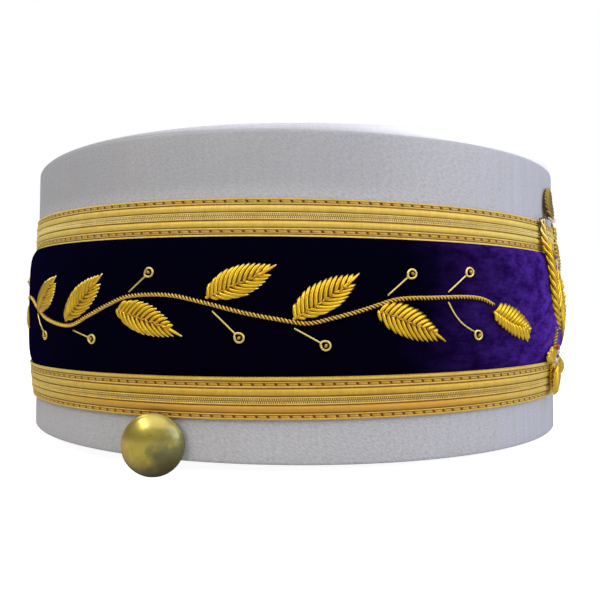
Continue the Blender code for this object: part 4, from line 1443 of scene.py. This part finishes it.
def make_fan(gold):
    """Palmette: lobes of purl round the top of the boss, with a twisted arch at their feet."""
    step = 2 * FAN_SPREAD / FAN_LOBES
    strands, pads, arches = [], [], []
    for number in range(FAN_LOBES):
        turn = math.radians(-FAN_SPREAD + step * (number + 0.5))
        reach = FAN_OUTER if number % 2 else FAN_OUTER - 0.6
        base, tip = (about_boss(turn, far, far) for far in (FAN_INNER, reach))
        lift = 0.2 - FAN_DROOP * abs(2 * number / (FAN_LOBES - 1) - 1) ** 2
        strands += leaf_strands(base, tip, lift=lift, **FAN_LEAF)
        strands += vein_chips(base, tip, lift + 1.7, **FAN_CHIPS)
        pads.append(leaf_pad(f"fan_pad_{number}", base, tip, 3.0, 0.9 + lift))
    for out, lift, ply, turn, pitch in FAN_ARCHES:
        arch = arc_points(BOSS_CENTRE, FAN_INNER + out, -FAN_SPREAD, FAN_SPREAD, 80, lift)
        arches += twisted(arch, ply, turn, pitch)
    finished(lay_round(joined(pads, "fan_pads"), crest_out), gold["felt"], "gold_bullion")
    thread_piece("fan_purl", strands, gold["purl"], crest_out, 1, 1, "crest_fan")
    thread_piece("fan_arches", arches, gold["purl"], crest_out, 1, 1)


def spray_rows(count):
    """The spray's route with the directions along it and to its inside."""
    route = smooth_rows(SPRAY_ROUTE, count)
    ahead = np.gradient(route[:, :2], axis=0)
    ahead /= np.linalg.norm(ahead, axis=1)[:, None]
    return route, ahead, np.column_stack([-ahead[:, 1], ahead[:, 0]])


def cord_line(places, lift, count=120):
    """Flat (round, lift, height) points of a cord through a few places."""
    route = smooth_rows(places, count)
    return np.column_stack([route[:, 0], np.full(count, lift), route[:, 1]])


def swept_strand(start, bend, end, lift, rise, thick):
    """Thick strand of purl on a bowed way, highest in its middle and thin at its ends."""
    points = []
    for t in np.linspace(0.0, 1.0, len(STRAND_SWELL)):
        flat = bowed(start, bend, end, t)
        points.append((flat[0], lift + rise * math.sin(math.pi * (0.2 + 0.75 * t)), flat[1]))
    swell = np.array(STRAND_SWELL)
    return wire(points, swell * thick)


def make_spray(side, sign, gold):
    """Palm spray: a thick rope along its outside, leaflets of purl inside it and a ridged fin at its tip."""
    route, ahead, inward = spray_rows(240)
    outside = route[:, :2] - inward * (route[:, 3:4] - ROPE_RADIUS)
    lifts = np.interp(route[:, 0], *np.array(ROPE_LIFTS).T)
    line = np.column_stack([outside[:, 0], lifts, outside[:, 1]])
    taper = tuple(np.array(ROPE_TAPER).T)
    rope = twisted(line, taper, hand=-sign, **SPRAY_ROPE)
    thread_piece(f"spray_{side}_rope", rope, gold["purl"], crest_out, sign, 2)
    strands = []
    for number in range(SPRAY_LEAFLETS):
        share = LEAFLETS_FROM + (LEAFLETS_TO - LEAFLETS_FROM) * number / (SPRAY_LEAFLETS - 1)
        index = int(share * (len(route) - 1))
        start = route[index, :2] + inward[index] * 0.3
        reach = route[index, 2]
        bend, end = (start + ahead[index] * reach * forwards + inward[index] * reach * inwards
                     for forwards, inwards in (LEAFLET_BEND, LEAFLET_END))
        stands = float(np.interp((start[1] + end[1]) / 2, *np.array(LEAFLET_LIFTS).T))
        strands.append(swept_strand(start, bend, end, stands, **LEAFLET_FORM))
    for number in range(SPRAY_CHIPS):
        index = int(chance.uniform(0.30, 0.72) * (len(route) - 1))
        middle = route[index, :2] + inward[index] * route[index, 2] * chance.uniform(0.15, 0.9)
        turn = chance.uniform(0.0, math.pi)
        half = np.array([math.cos(turn), math.sin(turn)]) * chance.uniform(0.9, 1.4)
        stands = float(np.interp(middle[1], *np.array(LEAFLET_LIFTS).T))
        strands.append(swept_strand(middle - half, middle, middle + half, stands + 0.4, **SPRAY_CHIP))
    finished(spray_pad(side, sign), gold["felt"], "gold_bullion")
    thread_piece(f"spray_{side}_purl", strands, gold["purl"], crest_out, sign, 2, "crest_spray_" + side)
    inner = twisted(cord_line(INNER_CORD, -0.75), hand=sign, **INNER_TWIST)
    thread_piece(f"spray_{side}_inner_cord", inner, gold["cord"], crest_out, sign, 1)
    make_fin(side, sign, gold)


def make_fin(side, sign, gold):
    """Ridged leaf that stands above the braid, held by a cuff of pale cord."""
    base, tip, half_width, lift = FIN["base"], FIN["tip"], FIN["half_width"], FIN["lift"]
    pad = leaf_pad(f"fin_{side}_pad", base, tip, half_width - 1.0, 0.8 + lift)
    finished(lay_round(pad, crest_out, sign), gold["felt"], "gold_bullion")
    strands = leaf_strands(base, tip, half_width, lift=lift, **FIN_LEAF)
    thread_piece(f"fin_{side}_purl", strands, gold["antique"], crest_out, sign, 2)
    cuff = twisted(cord_line(CUFF, lift + 1.0, 60), hand=sign, **CUFF_TWIST)
    thread_piece(f"fin_{side}_cuff", cuff, gold["pink"], crest_out, sign, 1)


def spray_pad(side, sign):
    """Felt under a spray: a grid along its rope, as wide as its leaflets reach."""
    rows, ahead, inward = spray_rows(40)
    across = [(-1.0, 0.0), (-0.8, 0.2), (-0.3, 0.3), (0.2, 0.4), (0.6, 0.4), (0.9, 0.2), (1.0, 0.0)]
    bpy.ops.mesh.primitive_grid_add(x_subdivisions=len(rows) - 1, y_subdivisions=len(across) - 1, size=1.0)
    pad = made(f"spray_{side}_pad")
    points = []
    for step, lift in across:
        for (s, z, inside, outside), along, inner in zip(rows, ahead, inward):
            narrow = 1.0 if z < 56 else 0.35
            reach = step * (inside * 0.72 * narrow if step > 0 else outside * 0.5)
            place = np.array([s, z]) + inner * reach + along * abs(reach) * 0.5
            points.append((place[0], lift, place[1]))
    place_points(pad.data, np.array(points) * MM)
    apply_modifier(pad, "SOLIDIFY", thickness=0.3 * MM, offset=-1.0)
    close_seams(pad)
    lay_round(pad, crest_out, sign)
    smooth(pad, 60.0)
    return pad


def make_scroll(side, sign, gold):
    """Curved bar below the spray that ends in five drooping petals, with a short stalk above them."""
    line = cord_line(SCROLL_ROUTE, 1.3)
    line[:, 1] = np.interp(line[:, 0], *np.array(BAR_LIFTS).T)
    paths = twisted(line, hand=sign, **BAR_TWIST)
    for shift in BAR_EDGES:
        beside = line + np.array([0.0, -0.5, shift])
        paths += twisted(beside, hand=-sign, **EDGE_TWIST)
    strands = []
    for tip_s, tip_z, half_width, lift in SCROLL_PETALS:
        heart = np.array(SCROLL_HEART)
        tip = np.array([tip_s, tip_z])
        base = heart + (tip - heart) * 0.12
        strands += leaf_strands(base, tip, half_width, lift=lift, **PETAL_LEAF)
    thread_piece(f"scroll_{side}_cords", paths, gold["purl"], crest_out, sign, 1, "crest_scroll_" + side)
    thread_piece(f"scroll_{side}_petals", strands, gold["purl"], crest_out, sign, 2)
    stalk = twisted(cord_line(SCROLL_STALK, 0.35, 60), hand=sign, **STALK_TWIST)
    thread_piece(f"scroll_{side}_stalk", stalk, gold["antique"], crest_out, sign, 1)


def make_drop(gold):
    """Pointed drop that hangs below the boss."""
    top, tip = ((0.0, height) for height in DROP_ENDS)
    strands = leaf_strands(top, tip, **DROP_LEAF)
    thread_piece("drop_purl", strands, gold["purl"], crest_out, 1, 1, "crest_drop")


def make_beads(finishes):
    """Beads along the sprays' inner cords, at the petals' hearts and on the boss."""
    rows = {"plum": [], "pearl": [], "red": []}
    for sign in (1, -1):
        for number, (s, z) in enumerate(SPRAY_BEADS):
            rows["pearl" if number % 2 else "plum"].append((sign * s, SPRAY_BEAD_LIFT, z))
        for label, s, lift, z in SCROLL_BEADS:
            rows[label].append((sign * s, lift, z))
    rows["pearl"].append((BOSS_CENTRE[0], BOSS_BEAD_LIFT, BOSS_CENTRE[1]))
    for label, places in rows.items():
        bead_row(label + "_beads", places, BEAD_RADIUS, finishes[label])


# Stage

def add_camera():
    """Camera as in the photograph, placed about the upright cap and leaned with it."""
    heading = EYE_SWING + EYE_YAW
    ahead = Vector((math.cos(heading) * math.cos(EYE_PITCH), math.sin(heading) * math.cos(EYE_PITCH),
                    math.sin(EYE_PITCH)))
    level = ahead.cross(Vector((0, 0, 1))).normalized()
    upward = level.cross(ahead)
    right = level * math.cos(EYE_ROLL) - upward * math.sin(EYE_ROLL)
    top = upward * math.cos(EYE_ROLL) + level * math.sin(EYE_ROLL)
    eye = Vector((-EYE_DISTANCE * math.cos(EYE_SWING), -EYE_DISTANCE * math.sin(EYE_SWING), EYE_HEIGHT))
    data = bpy.data.cameras.new("camera")
    data.sensor_width = SENSOR
    data.lens = FOCAL_PIXELS / PICTURE_PIXELS * SENSOR
    data.clip_start = 0.01
    camera = added("camera", data)
    turned = Matrix((right, top, -ahead)).transposed().to_4x4()
    camera.matrix_world = TO_FLOOR @ Matrix.Translation(eye) @ turned
    bpy.context.scene.camera = camera


def add_softbox(name, place, aim, size, power, colour, roll):
    data = bpy.data.lights.new(name, "AREA")
    data.shape = "RECTANGLE"
    data.size, data.size_y = size
    data.energy = power
    data.color = colour
    lamp = added(name, data)
    lamp.location = place
    aimed = (Vector(aim) - Vector(place)).to_track_quat("-Z", "Y")
    lamp.rotation_euler = (aimed @ Quaternion((0, 0, 1), math.radians(roll))).to_euler()


def seen_white(tree, other, output):
    """Light the object with OTHER, but show plain white behind and below it, as in a cut-out picture."""
    white = tree.nodes.new("ShaderNodeBackground" if output.type == "OUTPUT_WORLD" else "ShaderNodeEmission")
    white.inputs["Color"].default_value = (1.0, 1.0, 1.0, 1.0)
    seen = tree.nodes.new("ShaderNodeLightPath")
    either = tree.nodes.new("ShaderNodeMixShader")
    tree.links.new(seen.outputs["Is Camera Ray"], either.inputs[0])
    tree.links.new(other.outputs[0], either.inputs[1])
    tree.links.new(either.outputs[0], output.inputs[0])
    return white, either


def add_stage():
    """Pale floor that fades into a white surround, and soft light from above, the left and the right."""
    bpy.ops.mesh.primitive_plane_add(size=8.0, location=(0.0, 0.0, 0.0))
    floor = made("floor")
    paper = Finish("pale_paper", {"Base Color": (0.60, 0.60, 0.60), "Roughness": 1.0,
                                  "Specular IOR Level": 0.0})
    white, either = seen_white(paper.tree, paper.shader, paper.tree.nodes["Material Output"])
    white.inputs["Strength"].default_value = FLOOR_WHITE
    both = paper.tree.nodes.new("ShaderNodeAddShader")
    paper.tree.links.new(paper.shader.outputs[0], both.inputs[0])
    paper.tree.links.new(white.outputs[0], both.inputs[1])
    paper.tree.links.new(both.outputs[0], either.inputs[2])
    floor.data.materials.append(paper.material)
    world = bpy.data.worlds.new("studio")
    bpy.context.scene.world = world
    world.use_nodes = True
    soft = world.node_tree.nodes["Background"]
    soft.inputs["Color"].default_value = (*SKY_TINT, 1.0)
    soft.inputs["Strength"].default_value = SKY_STRENGTH
    white, either = seen_white(world.node_tree, soft, world.node_tree.nodes["World Output"])
    world.node_tree.links.new(white.outputs[0], either.inputs[2])
    for softbox in SOFTBOXES:
        add_softbox(*softbox)
    bpy.context.scene.view_settings.view_transform = "Standard"


def main():
    """The whole picture: camera, stage, finishes and pieces."""
    add_camera()
    add_stage()
    gold = {
        "upper": braid_gold("upper_braid_gold", (0.80, 0.58, 0.11), (0.64, 0.41, 0.045), (0.36, 0.20, 0.03),
                            (0.86, 0.72, 0.20), (0.96, 0.82, 0.36)),
        "lower": braid_gold("lower_braid_gold", (0.73, 0.50, 0.06), (0.57, 0.32, 0.025), (0.32, 0.16, 0.02),
                            (0.78, 0.63, 0.16), (0.90, 0.69, 0.22), ((0.58, 0.28, 0.025), 1.41, 1.60)),
        "stitch": braid_gold("stitch_gold", (0.70, 0.44, 0.06), (0.56, 0.30, 0.03), (0.34, 0.17, 0.02),
                             (0.76, 0.56, 0.14), (0.80, 0.60, 0.20)),
        "hole": felt("hole_shadow", (0.16, 0.045, 0.012)),
        "cord": purl_gold("stem_gold", (0.95, 0.68, 0.16), (0.56, 0.31, 0.045), (0.95, 0.68, 0.16),
                          0.25, 0.95, 0.36),
        "vein": purl_gold("vein_gold", (0.78, 0.46, 0.05), (0.40, 0.20, 0.02), (0.78, 0.46, 0.05),
                          0.25, 0.8, 0.34),
        "purl": purl_gold("purl_gold", (0.92, 0.64, 0.042), (0.64, 0.38, 0.016), (0.95, 0.84, 0.42)),
        "pale_purl": purl_gold("pale_purl_gold", (0.84, 0.70, 0.24), (0.70, 0.52, 0.12), (0.84, 0.70, 0.24)),
        "antique": purl_gold("antique_purl", (0.50, 0.33, 0.06), (0.24, 0.17, 0.05), (0.50, 0.36, 0.10)),
        "pink": purl_gold("pale_silk", (0.92, 0.78, 0.72), (0.82, 0.62, 0.56), (0.92, 0.80, 0.74),
                          0.25, 0.0, 0.4),
        # Felt padding; its dark colour is partly painted shade that shows between the strands.
        "felt": felt("padding_felt", (0.17, 0.09, 0.008)),
    }
    make_wall(satin("wall_satin", (0.52, 0.505, 0.50), (0.38, 0.375, 0.375), (0.50, 0.505, 0.62),
                    dim=((0.31, 0.305, 0.315), 7.1)))
    # Painted light: the crown's satin is a lighter copy of the wall's, as lit from above.
    make_crown(satin("crown_satin", (0.60, 0.59, 0.63), (0.54, 0.53, 0.57), (0.62, 0.62, 0.69),
                     ends=((0.98, 0.98, 1.0), (0.46, 0.45, 0.47))))
    make_velvet(velvet())
    make_braids(gold)
    make_boss(gold, silk("boss_silk", (0.16, 0.04, 0.34), (0.06, 0.015, 0.16)))
    make_fan(gold)
    make_drop(gold)
    brass = button_brass()
    for side, sign in (("right", 1), ("left", -1)):
        make_branch(side, sign, gold)
        make_spray(side, sign, gold)
        make_scroll(side, sign, gold)
        make_button(side, sign, brass)
    make_beads({
        "plum": bead_glass("plum_glass", (0.10, 0.03, 0.16)),
        "pearl": bead_glass("pearl_glass", (0.80, 0.74, 0.74)),
        "red": bead_glass("red_glass", (0.55, 0.03, 0.03)),
    })


main()
